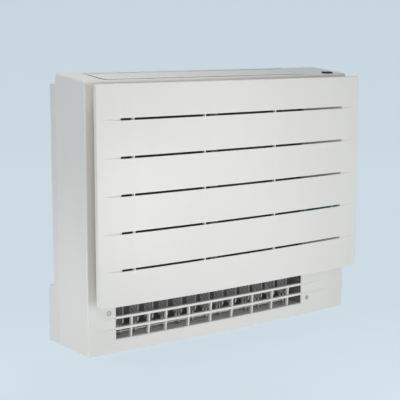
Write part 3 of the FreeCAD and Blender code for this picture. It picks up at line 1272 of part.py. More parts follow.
def louver(x):
    """Curved upright blade with pivots at both ends and a crank pin below."""
    y = louver_places()[1]
    half = LOUVER_CHORD / 2
    low = GRILLE_BOTTOM + LOUVER_LIFT
    high = GRILLE_TOP - LOUVER_HEADROOM
    thick = LOUVER_THICKNESS / 2

    def face_arc(offset):
        end_x = x + offset - LOUVER_BEND / 2
        crown = vec(end_x + LOUVER_BEND, y, low)
        return Part.Arc(vec(end_x, y - half, low), crown, vec(end_x, y + half, low))

    left = face_arc(-thick)
    right = face_arc(thick)
    edges = [
        left.toShape(),
        Part.LineSegment(left.EndPoint, right.EndPoint).toShape(),
        right.toShape(),
        Part.LineSegment(right.StartPoint, left.StartPoint).toShape(),
    ]
    blade = Part.Face(Part.Wire(Part.__sortEdges__(edges))).extrude(vec(0, 0, high - low))
    nose_y = y - half + LOUVER_NOSE
    nose_z = low + LOUVER_NOSE
    nose = block((x - FAR, x + FAR), (y - half - PAST, nose_y), (low - PAST, nose_z))
    nose = nose.cut(rod(LOUVER_NOSE, vec(x - FAR, nose_y, nose_z), vec(x + FAR, nose_y, nose_z)))
    blade = blade.cut(nose)
    pivot_x = x + LOUVER_BEND / 2
    pivot_foot = vec(pivot_x, y, GRILLE_BOTTOM - DUCT_WALL)
    pivot = rod(LOUVER_PIN_RADIUS, pivot_foot, vec(pivot_x, y, PAN_BOTTOM - SEAT_GAP))
    crank_y = y + LOUVER_CRANK
    foot_low = GRILLE_BOTTOM + CRANK_LIFT
    foot_top = vec(pivot_x, crank_y, low + 2 * LINK_HEIGHT)
    foot = rod(2 * CRANK_PIN_RADIUS, vec(pivot_x, crank_y, foot_low), foot_top)
    crank_low = vec(pivot_x, crank_y, GRILLE_BOTTOM + LINK_LIFT - PAST)
    crank = rod(CRANK_PIN_RADIUS, crank_low, vec(pivot_x, crank_y, foot_low + PAST))
    return join([blade, pivot, foot, crank]).translated(vec(-LOUVER_BEND / 2, 0, 0))


def louver_link():
    """Bar under the blades with a slot for every crank pin."""
    places, y = louver_places()
    crank_y = y + LOUVER_CRANK
    low = GRILLE_BOTTOM + LINK_LIFT
    ends = (places[0] - LINK_WIDTH, places[-1] + LINK_WIDTH)
    bar = block(ends, (crank_y - LINK_WIDTH / 2, crank_y + LINK_WIDTH / 2), (low, low + LINK_HEIGHT))
    half = CRANK_PIN_RADIUS + LINK_CLEARANCE
    slot_y = (crank_y - half - CRANK_PIN_RADIUS, crank_y + half)
    return bar.cut([block((x - half, x + half), slot_y, (0, HEIGHT)) for x in places])


def box_ranges():
    """X, Y and Z ranges of the control box."""
    x_range = (AIR_RIGHT + BOX_GAP, HALF - WALL - BOX_SIDE_GAP)
    return x_range, (BOX_FRONT_Y, BOX_BACK_Y), (BOX_BOTTOM, HEIGHT - BOX_TOP_DROP)


def control_box():
    """Sheet box open at the front, hung from the wall of the fan chamber by two tabs."""
    x_range, y_range, z_range = box_ranges()
    box = block(x_range, y_range, z_range)
    inner_x = (x_range[0] + BOX_SHEET, x_range[1] - BOX_SHEET)
    inner_z = (z_range[0] + BOX_SHEET, z_range[1] - BOX_SHEET)
    box = box.cut(block(inner_x, (y_range[0] - PAST, y_range[1] - BOX_SHEET), inner_z))
    wall_x = partition_ranges()[1][1]
    tabs = []
    for z in (z_range[0] + TAB_WIDTH, z_range[1] - 2 * TAB_WIDTH):
        tab_z = (z, z + TAB_WIDTH)
        tabs.append(block((wall_x, x_range[0] + BOX_SHEET / 2), (y_range[1] - BOX_SHEET, y_range[1]), tab_z))
        tabs.append(block((wall_x, wall_x + BOX_SHEET), (y_range[1] - TAB_WIDTH, y_range[1]), tab_z))
    box = join([box] + tabs)
    posts = []
    for x, z in board_posts():
        posts.append(rod(BOARD_STANDOFF / 2, vec(x, y_range[1] - BOX_SHEET - BOARD_STANDOFF, z),
                         vec(x, y_range[1] - BOX_SHEET / 2, z)))
    return join([box] + posts)


def board_ranges():
    """X and Z ranges of the control board, above the terminals."""
    x_range, y_range, z_range = box_ranges()
    low = z_range[0] + BOX_SHEET + TERMINAL_HEIGHT + 2 * BOARD_MARGIN
    return (x_range[0] + BOARD_MARGIN, x_range[1] - BOARD_MARGIN), (low, z_range[1] - BOARD_MARGIN)


def board_posts():
    """X and Z of the four posts under the control board."""
    x_range, z_range = board_ranges()
    return [(x, z) for x in (x_range[0] + BOARD_MARGIN, x_range[1] - BOARD_MARGIN)
            for z in (z_range[0] + BOARD_MARGIN, z_range[1] - BOARD_MARGIN)]


def control_board():
    """Circuit board with its larger components."""
    x_range, z_range = board_ranges()
    back = BOX_BACK_Y - BOX_SHEET - BOARD_STANDOFF
    front = back - BOARD_THICKNESS
    board = block(x_range, (front, back), z_range)
    width = x_range[1] - x_range[0]
    height = z_range[1] - z_range[0]
    parts = [board]
    for share, size in zip(BOARD_SHARES, (RELAY_SIZE, COIL_SIZE, SUPPLY_SIZE)):
        low = z_range[0] + share * height
        left = x_range[0] + width / 4
        parts.append(block((left, left + size), (front - size / 2, front + BOARD_SEAT), (low, low + size)))
        x = x_range[1] - width / 5
        z = low + size / 2
        parts.append(rod(size / 4, vec(x, front - size, z), vec(x, front + BOARD_SEAT, z)))
    return join(parts)


def terminal_block():
    """Terminal strip on the floor of the control box."""
    x_range, y_range, z_range = box_ranges()
    low = z_range[0] + BOX_SHEET
    left = x_range[0] + BOARD_MARGIN
    back = BOX_BACK_Y - BOX_SHEET
    strip = block((left, left + TERMINAL_WIDTH), (back - TERMINAL_DEPTH, back), (low, low + TERMINAL_HEIGHT))
    pitch = TERMINAL_WIDTH / TERMINAL_POLES
    cuts = []
    for pole in range(TERMINAL_POLES):
        x = left + pitch * (pole + 0.5)
        cut_y = (back - TERMINAL_DEPTH - PAST, back - TERMINAL_DEPTH / 2)
        cut_z = (low + TERMINAL_HEIGHT / 2, low + TERMINAL_HEIGHT + PAST)
        cuts.append(block((x - pitch / 3, x + pitch / 3), cut_y, cut_z))
    return strip.cut(cuts)


def control_cover():
    """Lid of the control box."""
    x_range, y_range, z_range = box_ranges()
    return block(x_range, (y_range[0] - COVER_THICKNESS, y_range[0]), z_range)


def selector_plate():
    """Plate on the casing's front around the outlet selector."""
    z_range = (SELECTOR_Z - SELECTOR_HEIGHT / 2, SELECTOR_Z + SELECTOR_HEIGHT / 2)
    plate = casing_band(-SELECTOR_PLATE, 0.0, (SELECTOR_LEFT, SELECTOR_RIGHT), z_range)
    half = SWITCH_STEM / 2 + SWITCH_GAP
    slot_z = (SELECTOR_Z - half, SELECTOR_Z + half + SWITCH_TRAVEL)
    return plate.cut(block((SWITCH_X - half, SWITCH_X + half), (-FAR, FAR), slot_z))


def selector_switch():
    """Slider of the outlet selector."""
    face = casing_y(SWITCH_X - SWITCH_WIDTH / 2, -SELECTOR_PLATE) - SWITCH_GAP
    head = block((SWITCH_X - SWITCH_WIDTH / 2, SWITCH_X + SWITCH_WIDTH / 2), (face - SWITCH_PROUD, face),
                 (SELECTOR_Z - SWITCH_HEAD / 2, SELECTOR_Z + SWITCH_HEAD / 2))
    half = SWITCH_STEM / 2
    stem = block((SWITCH_X - half, SWITCH_X + half), (face - PAST, casing_y(SWITCH_X, WALL)),
                 (SELECTOR_Z - half, SELECTOR_Z + half))
    return join([head, stem])


def under_top(shape, drop):
    """What lies under the sloping top, lowered by a drop."""
    outline = [(-FAR, top_z(-FAR, drop)), (FAR, top_z(FAR, drop)), (FAR, 2 * FAR), (-FAR, 2 * FAR)]
    return shape.cut(prism(outline, (-FAR, FAR)))


def display_window():
    """Dark window in the top, held by a flange under it."""
    window_x, button_x, window_y = window_ranges()
    middle_z = top_z(sum(window_y) / 2)
    lens = rounded_plate(window_x, window_y, (middle_z - WINDOW_THICKNESS - WALL, HEIGHT), WINDOW_RADIUS)
    lens = under_top(lens, -WINDOW_RISE)
    flange_x = (window_x[0] - WINDOW_FLANGE, window_x[1])
    flange_y = (window_y[0] - WINDOW_FLANGE, window_y[1] + WINDOW_FLANGE)
    flange = rounded_plate(flange_x, flange_y, (middle_z - WINDOW_THICKNESS - WALL, HEIGHT), WINDOW_RADIUS)
    return join([lens, under_top(flange, WALL + SEAT_GAP / 2)])


def power_button():
    """Dark key beside the window."""
    window_x, button_x, window_y = window_ranges()
    middle_z = top_z(sum(window_y) / 2)
    key = rounded_plate(button_x, window_y, (middle_z - BUTTON_HEIGHT, HEIGHT), BUTTON_RADIUS)
    return under_top(key, -WINDOW_RISE)


def cable_grommet():
    """Flanged bush in the hole for the supply cable."""
    def at(y):
        return vec(GROMMET_X, y, GROMMET_Z)

    bush = rod(GROMMET_HOLE - PIN_SEAT_GAP, at(INNER_BACK_Y - GROMMET_LIP), at(BACK_Y + GROMMET_LIP))
    inside = rod(GROMMET_FLANGE, at(INNER_BACK_Y - GROMMET_LIP), at(INNER_BACK_Y))
    outside = rod(GROMMET_FLANGE, at(BACK_Y), at(BACK_Y + GROMMET_LIP))
    return join([bush, inside, outside]).cut(rod(GROMMET_BORE, at(-FAR), at(FAR)))


def wall_plate():
    """Folded plate that is screwed to the wall and carries the upper back."""
    x_range = (-PLATE_WIDTH / 2, PLATE_WIDTH / 2)
    high = PLATE_BOTTOM + PLATE_HEIGHT
    web = block(x_range, (FOOT_Y - PLATE_SHEET, FOOT_Y), (PLATE_BOTTOM, high))
    lower = block(x_range, (BACK_Y, FOOT_Y), (PLATE_BOTTOM, PLATE_BOTTOM + PLATE_SHEET))
    upper = block(x_range, (BACK_Y, FOOT_Y), (high - PLATE_SHEET, high))
    holes = []
    middle = PLATE_BOTTOM + PLATE_HEIGHT / 2
    for x in (-PLATE_HOLE_SPACING[0] / 2, PLATE_HOLE_SPACING[0] / 2):
        for z in (middle - PLATE_HOLE_SPACING[1] / 2, middle + PLATE_HOLE_SPACING[1] / 2):
            start = vec(x, FOOT_Y - 2 * PLATE_SHEET, z)
            holes.append(rod(PLATE_HOLE_RADIUS, start, vec(x, FOOT_Y + PAST, z)))
    return join([web, lower, upper]).cut(holes)


def pieces():
    """Every node with its shape."""
    nodes = {
        "rear_casing": rear_casing(),
        "front_casing": front_casing(),
        "casing_screws": casing_screws(),
        "outlet_grille": outlet_grille(),
        "front_panel": front_panel(),
        "panel_hinge_pins": panel_hinge_pins(),
        "panel_stopper_left": panel_stopper(-1),
        "panel_stopper_right": panel_stopper(1),
        "air_filter_left": air_filter(-1),
        "air_filter_right": air_filter(1),
        "exchanger_fins": exchanger_fins(),
        "exchanger_tubes": exchanger_tubes(),
        "exchanger_plates": exchanger_plates(),
        "refrigerant_pipes": refrigerant_pipes(),
        "flare_unions": flare_unions(),
        "drain_pan": drain_pan(),
        "drain_spout": drain_spout(),
        "bell_mouth": bell_mouth(),
        "turbo_fan": turbo_fan(),
        "fan_shaft": fan_shaft(),
        "fan_nut": fan_nut(),
        "fan_motor": fan_motor(),
        "motor_bearings": motor_bearings(),
        "motor_bracket": motor_bracket(),
        "motor_screws": motor_screws(),
        "air_guides": air_guides(),
        "upper_duct": upper_duct(),
        "top_flap": top_flap(),
        "flap_motor": flap_motor(),
        "lower_duct": lower_duct(),
        "lower_damper": lower_damper(),
        "damper_motor": damper_motor(),
        "louver_link": louver_link(),
        "control_box": control_box(),
        "control_cover": control_cover(),
        "control_board": control_board(),
        "terminal_block": terminal_block(),
        "selector_plate": selector_plate(),
        "selector_switch": selector_switch(),
        "display_window": display_window(),
        "power_button": power_button(),
        "cable_grommet": cable_grommet(),
        "wall_plate": wall_plate(),
    }
    for index, x in enumerate(louver_places()[0], start=1):
        nodes["louver_%02d" % index] = louver(x)
    return nodes


os.makedirs("parts", exist_ok=True)
for name, shape in pieces().items():
    facts = (name, len(shape.Solids), shape.Volume, shape.isValid())
    print("%-20s solids %3d  volume %12.1f  valid %s" % facts)
    shape.exportStep(os.path.join("parts", name + ".step"))
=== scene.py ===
"""Floor console air conditioner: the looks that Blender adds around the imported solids."""
import json
import logging
import math
from collections.abc import Callable, Iterator, Sequence
from contextlib import contextmanager
from dataclasses import dataclass
from enum import Enum, IntEnum

import bmesh
import bpy
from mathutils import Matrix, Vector


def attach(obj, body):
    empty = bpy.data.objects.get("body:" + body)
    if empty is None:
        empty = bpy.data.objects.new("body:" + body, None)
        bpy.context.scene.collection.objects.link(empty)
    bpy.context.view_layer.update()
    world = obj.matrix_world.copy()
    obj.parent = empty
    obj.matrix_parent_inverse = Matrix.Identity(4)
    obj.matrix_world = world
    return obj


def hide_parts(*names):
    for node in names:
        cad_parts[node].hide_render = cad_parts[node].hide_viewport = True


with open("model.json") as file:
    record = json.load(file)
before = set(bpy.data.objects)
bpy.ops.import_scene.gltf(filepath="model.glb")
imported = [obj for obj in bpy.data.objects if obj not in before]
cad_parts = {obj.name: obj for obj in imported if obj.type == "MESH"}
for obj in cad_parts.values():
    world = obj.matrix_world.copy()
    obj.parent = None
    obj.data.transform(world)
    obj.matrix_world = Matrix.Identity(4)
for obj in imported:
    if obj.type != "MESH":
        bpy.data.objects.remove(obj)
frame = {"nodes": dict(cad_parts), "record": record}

LOG = logging.getLogger("console")
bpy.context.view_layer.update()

Piece = bpy.types.Object
Edge = bmesh.types.BMEdge
Span = tuple[float, float]
Point = tuple[float, float, float]
Colour = tuple[float, float, float]
Line = Callable[[float], float]
Test = Callable[..., bool]

# Left and right
SIDES = (-1, 1)
# Lengths that differ by less are the same
SLACK = 1e-4
# Least share of a direction that counts as along an axis
ALONG = 0.9
# How far a cutter goes past what it cuts
CLEAR = 0.01
# Faces around large, middling, slim and thin round bars
LARGE, MIDDLING, SLIM, THIN = 40, 32, 24, 20
# Sockets of a Mix node that mixes colours: its factor, its two colours and its result
MIX_INPUTS, MIX_OUTPUT = (0, 6, 7), 2
# Waves per metre of the fine grain of moulded plastic
GRAIN = 2600.0


class Axis(IntEnum):
    """Axes by their place in a vector."""

    X = 0
    Y = 1
    Z = 2


class Part(Enum):
    """What an edit-mode selection is made of."""

    VERT = "verts"
    EDGE = "edges"
    FACE = "faces"


class Body(Enum):
    """The CAD bodies that modelled pieces ride on, apart from the blades'."""

    CABINET = "cabinet"
    PANEL = "panel"
    FLAP = "flap"
    BUTTON = "button"


class Merge(Enum):
    """What a boolean does with its second piece."""

    CUT = "DIFFERENCE"
    ADD = "UNION"


# Shader expressions


class Signal:
    """A node's output that takes part in Python expressions."""

    def __init__(self, bench: "NodeBench", socket: bpy.types.NodeSocket) -> None:
        """Keeps the socket and the bench that adds nodes behind it."""
        self.bench = bench
        self.socket = socket

    def math(self, operation: str, first: "Value", second: "Value") -> "Signal":
        """Adds one Math node on two values."""
        return self.bench.node("ShaderNodeMath", {"operation": operation}, {0: first, 1: second})

    def __add__(self, other: "Value") -> "Signal":
        """Sum."""
        return self.math("ADD", self, other)

    def __radd__(self, other: "Value") -> "Signal":
        """Sum with the number first."""
        return self.math("ADD", other, self)

    def __sub__(self, other: "Value") -> "Signal":
        """Difference."""
        return self.math("SUBTRACT", self, other)

    def __rsub__(self, other: "Value") -> "Signal":
        """Difference with the number first."""
        return self.math("SUBTRACT", other, self)

    def __mul__(self, other: "Value") -> "Signal":
        """Product."""
        return self.math("MULTIPLY", self, other)

    def __rmul__(self, other: "Value") -> "Signal":
        """Product with the number first."""
        return self.math("MULTIPLY", other, self)

    def __pow__(self, other: "Value") -> "Signal":
        """Power."""
        return self.math("POWER", self, other)

    def fold(self, length: float) -> "Signal":
        """Goes up and down between zero and a length."""
        return self.math("PINGPONG", self, length)


Value = Signal | float | Sequence[float]


class NodeBench:
    """Builds one material's node tree around a Principled shader."""

    def __init__(self, name: str) -> None:
        """Starts a material with only its shader and output.

        Args:
            name: the material's name.
        """
        self.material = bpy.data.materials.new(name)
        self.material.use_nodes = True
        self.tree = self.material.node_tree
        self.shader = self.tree.nodes["Principled BSDF"]

    def node(self, kind: str, settings: dict, sockets: dict, output: int | str = 0) -> Signal:
        """Adds any node.

        Args:
            kind: the node's type.
            settings: attributes, set first.
            sockets: values or signals by socket name or number.
            output: the output that is wanted.

        Returns:
            That output as a signal.
        """
        made = self.tree.nodes.new(kind)
        for key, value in settings.items():
            setattr(made, key, value)
        for key, value in sockets.items():
            self.feed(made.inputs[key], value)
        return Signal(self, made.outputs[output])

    def feed(self, socket: bpy.types.NodeSocket, value: Value) -> None:
        """Links a signal to a socket, or sets the socket's own value.

        Args:
            socket: the input.
            value: a signal, a number, a vector or a colour.
        """
        if isinstance(value, Signal):
            self.tree.links.new(value.socket, socket)
        elif socket.type == "RGBA" and len(value) == 3:
            socket.default_value = (*value, 1.0)
        else:
            socket.default_value = value

    def set(self, **sockets: Value) -> None:
        """Feeds the shader's sockets, named with underscores for spaces."""
        for key, value in sockets.items():
            self.feed(self.shader.inputs[key.replace("_", " ")], value)

    def place(self, scale: Point = (1.0, 1.0, 1.0), turn: Point = (0.0, 0.0, 0.0)) -> Signal:
        """Object coordinates, scaled along the axes and turned about them."""
        where = self.node("ShaderNodeTexCoord", {}, {}, "Object")
        return self.node("ShaderNodeMapping", {}, {"Vector": where, "Scale": scale, "Rotation": turn})

    def axis(self, vector: Signal, axis: Axis) -> Signal:
        """One component of a vector."""
        return self.node("ShaderNodeSeparateXYZ", {}, {0: vector}, axis.name)

    def upward(self) -> Signal:
        """How far the surface faces up, from -1 to 1."""
        return self.axis(self.node("ShaderNodeNewGeometry", {}, {}, "Normal"), Axis.Z)

    def noise(self, scale: float, detail: float = 3.0, stretch: Point = (1.0, 1.0, 1.0)) -> Signal:
        """Smooth noise around 0.5, in waves per metre, with octaves of detail."""
        sockets = {"Vector": self.place(stretch), "Scale": scale, "Detail": detail}
        return self.node("ShaderNodeTexNoise", {}, sockets, "Fac")

    def blend(self, share: Value, first: Value, second: Value) -> Signal:
        """Mixes two colours, with a share of the second."""
        sockets = dict(zip(MIX_INPUTS, (share, first, second)))
        return self.node("ShaderNodeMix", {"data_type": "RGBA"}, sockets, MIX_OUTPUT)

    def limit(self, value: Signal, low: float, high: float) -> Signal:
        """Spreads the part of a signal between two values over 0 to 1."""
        return self.node("ShaderNodeMapRange", {}, {"Value": value, "From Min": low, "From Max": high})

    def bump(self, height: Signal, depth: float) -> Signal:
        """A normal from a height signal, with the metres that one unit of it stands for."""
        sockets = {"Height": height, "Distance": depth, "Strength": 1.0}
        return self.node("ShaderNodeBump", {}, sockets, "Normal")


# Finishes


def tint(colour: Colour, factor: float, lift: float = 0.0) -> Colour:
    """A colour times a factor, and lifted."""
    return tuple(channel * factor + lift for channel in colour)


@dataclass(frozen=True)
class Finish:
    """The material of one of the record's slots."""

    name: str
    colour: Colour

    def build(self) -> bpy.types.Material:
        """Makes the material.

        Returns:
            The new material.
        """
        bench = NodeBench(self.name)
        self.mix(bench)
        return bench.material

    def mix(self, bench: NodeBench) -> None:
        """Adds the nodes of this kind of finish to a bench."""
        raise NotImplementedError


@dataclass(frozen=True)
class MouldedPlastic(Finish):
    """Injection-moulded plastic with a fine grain, faint flow clouding and dust on what faces up."""

    shade: Colour
    roughness: float = 0.42
    depth: float = 0.00002
    coat: float = 0.0
    dust: Colour = (0.62, 0.60, 0.56)
    dusty: float = 0.12

    def mix(self, bench: NodeBench) -> None:
        """Adds clouding, flow lines, settled dust and grain.

        Args:
            bench: where the nodes go.
        """
        cloud = bench.noise(3.2, 2.0)
        flow = bench.noise(26.0, 4.0, (1.0, 1.0, 0.25))
        spark = bench.noise(GRAIN, 2.0)
        tone = bench.blend(bench.limit(cloud * 0.7 + flow * 0.3, 0.34, 0.66), self.colour, self.shade)
        settled = bench.limit(bench.upward(), 0.55, 1.0) * bench.limit(bench.noise(70.0, 5.0), 0.42, 0.70)
        bench.set(Base_Color=bench.blend(settled * self.dusty, tone, self.dust))
        bench.set(Roughness=bench.limit(flow, 0.2, 0.8) * 0.10 + (self.roughness - 0.05) + settled * 0.12)
        bench.set(Normal=bench.bump(spark, self.depth), Coat_Weight=self.coat, Coat_Roughness=0.25)


@dataclass(frozen=True)
class DuctPlastic(Finish):
    """Grey duct moulding: dark inside, with painted light on its ribbed floors near the outlet."""

    # floor is the pale colour painted on upward faces near the outlet as the light that falls in there; the Y
    # span below says where it fades
    floor: Colour
    rib: float = 0.014
    lit_floor_y: Span = (0.0, 0.05)

    def mix(self, bench: NodeBench) -> None:
        """Adds the ribbed floor with its painted light near the outlet, and stains.

        Args:
            bench: where the nodes go.
        """
        up = bench.limit(bench.upward(), 0.6, 0.9)
        y = bench.axis(bench.place(), Axis.Y)
        ridge = bench.limit(y.fold(self.rib / 2), 0.2 * self.rib, 0.4 * self.rib) * up
        # Painted light: upward faces in front of Y 0 take the pale floor colour, fading out by Y 0.05
        outlet = bench.limit(y, self.lit_floor_y[1], self.lit_floor_y[0]) * up
        stain = bench.limit(bench.noise(40.0, 4.0), 0.35, 0.7)
        inside = bench.blend(stain, self.colour, tint(self.colour, 1.35))
        tone = bench.blend(outlet * (ridge * 0.6 + 0.4), inside, self.floor)
        bench.set(Base_Color=tone, Roughness=stain * 0.15 + 0.45, Normal=bench.bump(ridge, 0.0004))


@dataclass(frozen=True)
class LouverPlastic(Finish):
    """Grey louver moulding with a painted highlight on its front lip, and pale slanting lines."""

    # edge is the pale colour of the painted highlight on the front lip, and of the slanting lines
    edge: Colour
    painted_lip_y: Span = (-0.0440, -0.0458)
    pitch: float = 0.0125
    line: float = 0.0026
    slope: float = 0.8

    def mix(self, bench: NodeBench) -> None:
        """Adds the painted highlight on the lip, the pale slanting lines and grain.

        Args:
            bench: where the nodes go.
        """
        spot = bench.place()
        y, z = bench.axis(spot, Axis.Y), bench.axis(spot, Axis.Z)
        lines = bench.limit((z - y * self.slope).fold(self.pitch / 2), self.line, self.line * 0.4)
        # Painted highlight: the front lip takes the pale edge colour, as where the front light catches it
        lip = bench.limit(y, *self.painted_lip_y)
        patchy = bench.limit(bench.noise(60.0, 3.0), 0.42, 0.58)
        grain = bench.noise(GRAIN, 2.0)
        blade = bench.blend(lines * (patchy * 0.4 + 0.5), self.colour, self.edge)
        bench.set(Base_Color=bench.blend(lip, blade, self.edge), Roughness=patchy * 0.12 + 0.34)
        bench.set(Normal=bench.bump(grain + lines * 8.0, 0.00003))


@dataclass(frozen=True)
class PolishedWindow(Finish):
    """Dark see-through lens that shows as black gloss with faint fingerprints."""

    def mix(self, bench: NodeBench) -> None:
        """Adds smears and a fine ripple.

        Args:
            bench: where the nodes go.
        """
        smear = bench.limit(bench.noise(160.0, 4.0), 0.45, 0.75)
        fine = bench.noise(900.0, 2.0)
        bench.set(Base_Color=bench.blend(smear, self.colour, tint(self.colour, 1.8, 0.01)))
        bench.set(Roughness=smear * 0.16 + 0.30, Normal=bench.bump(fine, 0.000004), Specular_IOR_Level=0.12)


@dataclass(frozen=True)
class WovenNet(Finish):
    """Filter net: crossing threads with dark gaps, and dust caught in it."""

    gap: Colour
    dust: Colour = (0.56, 0.52, 0.47)
    threads: float = 900.0
    inlet: Point = (0.068, 0.350, 0.070)

    def mix(self, bench: NodeBench) -> None:
        """Adds the weave, fluff and the dust around the air inlet.

        Args:
            bench: where the nodes go.
        """
        spot = bench.place()
        x, z = bench.axis(spot, Axis.X), bench.axis(spot, Axis.Z)
        weft, warp = ((along * self.threads).fold(1.0) for along in (x, z))
        thread = bench.limit(weft.math("MAXIMUM", weft, warp), 0.55, 0.75)
        fluff = bench.limit(bench.noise(45.0, 5.0), 0.40, 0.70)
        inlet_x, inlet_z, radius = self.inlet
        distance = (x - inlet_x) ** 2.0 + (z - inlet_z) ** 2.0 * 0.4
        patchy = bench.limit(bench.noise(16.0, 4.0), 0.36, 0.58)
        caught = bench.limit(distance, 2.0 * radius ** 2, 0.0) * patchy
        net = bench.blend(thread, self.gap, bench.blend(fluff * 0.35, self.colour, self.dust))
        bench.set(Base_Color=bench.blend(caught * 0.8, net, self.dust), Roughness=fluff * 0.15 + 0.70)
        bench.set(Normal=bench.bump(thread, 0.0003))


@dataclass(frozen=True)
class SheetMetal(Finish):
    """Galvanised sheet with crystal spangle and rolling lines."""

    spangle: float = 110.0

    def mix(self, bench: NodeBench) -> None:
        """Adds spangle and rolling lines.

        Args:
            bench: where the nodes go.
        """
        sockets = {"Vector": bench.place(), "Scale": self.spangle}
        flake = bench.axis(bench.node("ShaderNodeTexVoronoi", {}, sockets, "Color"), Axis.X)
        lines = bench.noise(40.0, 3.0, (1.0, 1.0, 60.0))
        bench.set(Base_Color=bench.blend(flake, tint(self.colour, 0.78), self.colour), Metallic=1.0)
        bench.set(Roughness=flake * 0.16 + lines * 0.12 + 0.26, Normal=bench.bump(lines, 0.00002))


@dataclass(frozen=True)
class DrawnMetal(Finish):
    """Drawn, turned or rolled metal: fine lines one way, and a little tarnish."""

    tarnish: Colour
    roughness: float = 0.28
    lines: Point = (1.0, 1.0, 40.0)

    def mix(self, bench: NodeBench) -> None:
        """Adds drawing lines and tarnish.

        Args:
            bench: where the nodes go.
        """
        streak = bench.noise(30.0, 4.0, self.lines)
        stain = bench.limit(bench.noise(18.0, 5.0), 0.48, 0.75)
        bench.set(Base_Color=bench.blend(stain * 0.7, self.colour, self.tarnish), Metallic=1.0)
        bench.set(Roughness=streak * 0.14 + stain * 0.16 + self.roughness)
        bench.set(Normal=bench.bump(streak, 0.00001))


@dataclass(frozen=True)
class PaintedMetal(Finish):
    """Stove enamel with a slight orange-peel surface."""

    def mix(self, bench: NodeBench) -> None:
        """Adds fading and orange peel.

        Args:
            bench: where the nodes go.
        """
        peel = bench.noise(420.0, 2.0)
        fade = bench.limit(bench.noise(9.0, 3.0), 0.35, 0.7)
        lighter = tint(self.colour, 1.25, 0.02)
        bench.set(Base_Color=bench.blend(fade, self.colour, lighter), Roughness=peel * 0.12 + 0.34)
        bench.set(Normal=bench.bump(peel, 0.00004), Coat_Weight=0.3)


@dataclass(frozen=True)
class BoardLaminate(Finish):
    """Green circuit laminate with lighter tracks under its lacquer."""

    track: Colour

    def mix(self, bench: NodeBench) -> None:
        """Adds the tracks.

        Args:
            bench: where the nodes go.
        """
        spot = bench.place(turn=(math.pi / 2, 0.0, 0.0))
        sockets = {"Vector": spot, "Scale": 110.0, "Mortar Size": 0.07,
                   "Color1": (0, 0, 0), "Color2": (0.2, 0.2, 0.2), "Mortar": (1, 1, 1)}
        tracks = bench.node("ShaderNodeTexBrick", {"offset": 0.35}, sockets, "Fac")
        bench.set(Base_Color=bench.blend(tracks, self.colour, self.track))
        bench.set(Roughness=bench.noise(200.0) * 0.2 + 0.25, Normal=bench.bump(tracks, 0.00005))


FINISHES: dict[str, Finish] = {
    "white_shell": MouldedPlastic("satin_white", (0.85, 0.80, 0.745), (0.82, 0.77, 0.715), 0.36, coat=0.25),
    "white_back": MouldedPlastic("satin_white_back", (0.82, 0.775, 0.725), (0.79, 0.745, 0.695), 0.42),
    # duct: the second colour is painted light on the floors near the outlet
    "duct_plastic": DuctPlastic("duct_grey", (0.20, 0.193, 0.190), (0.90, 0.885, 0.85)),
    # louvers: the second colour is the painted highlight on the front lips, and the slanting lines
    "louver_plastic": LouverPlastic("louver_grey", (0.50, 0.485, 0.475), (0.86, 0.845, 0.82)),
    "fan_plastic": MouldedPlastic("fan_black", (0.035, 0.036, 0.038), (0.05, 0.05, 0.052), 0.55),
    "filter_mesh": WovenNet("filter_net", (0.20, 0.17, 0.13), (0.03, 0.027, 0.024)),
    "dark_window": PolishedWindow("smoked_lens", (0.012, 0.013, 0.016)),
    "accent_plastic": MouldedPlastic("teal_plastic", (0.03, 0.40, 0.50), (0.03, 0.35, 0.44), 0.32,
                                     dusty=0.04),
    "switch_plastic": MouldedPlastic("switch_white", (0.70, 0.70, 0.68), (0.66, 0.66, 0.64), 0.40),
    "screw_steel": DrawnMetal("plated_steel", (0.60, 0.58, 0.55), (0.44, 0.42, 0.39), 0.36),
    "fin_aluminium": DrawnMetal("rolled_aluminium", (0.78, 0.79, 0.80), (0.60, 0.61, 0.62), 0.30,
                                (1.0, 40.0, 1.0)),
    "copper_tube": DrawnMetal("drawn_copper", (0.72, 0.36, 0.22), (0.34, 0.18, 0.12), 0.22, (40.0, 1.0, 1.0)),
    "union_brass": DrawnMetal("turned_brass", (0.74, 0.55, 0.26), (0.45, 0.33, 0.16), 0.22, (1.0, 60.0, 1.0)),
    "zinc_sheet": SheetMetal("galvanised_sheet", (0.62, 0.64, 0.66)),
    "motor_paint": PaintedMetal("motor_enamel", (0.12, 0.125, 0.13)),
    "board_laminate": BoardLaminate("board_green", (0.015, 0.10, 0.05), (0.08, 0.28, 0.14)),
    "grommet_rubber": MouldedPlastic("black_rubber", (0.02, 0.02, 0.02), (0.03, 0.03, 0.03), 0.75,
                                     depth=0.00006),
}


class Paintbox:
    """Makes each finish once and puts it on pieces by the record's slot name."""

    def __init__(self) -> None:
        """Starts with nothing made."""
        self.made: dict[str, bpy.types.Material] = {}

    def coat(self, piece: Piece, slot: str) -> None:
        """Puts a slot's material on all of a piece.

        Args:
            piece: the object.
            slot: the record's material slot.
        """
        if slot not in self.made:
            self.made[slot] = FINISHES[slot].build()
        piece.data.materials.clear()
        piece.data.materials.append(self.made[slot])


# Modelling by operators, in metres and in the shared frame


def focus(*pieces: Piece) -> None:
    """Selects these objects alone and makes the first one active.

    Args:
        pieces: the objects.
    """
    bpy.ops.object.select_all(action="DESELECT")
    for piece in pieces:
        piece.select_set(True)
    bpy.context.view_layer.objects.active = pieces[0]


def settle(piece: Piece, name: str) -> Piece:
    """Names a piece and puts its place, turn and scale into its mesh.

    Args:
        piece: the object.
        name: its new name.

    Returns:
        The same object.
    """
    piece.name = name
    focus(piece)
    bpy.ops.object.transform_apply(location=True, rotation=True, scale=True)
    return piece


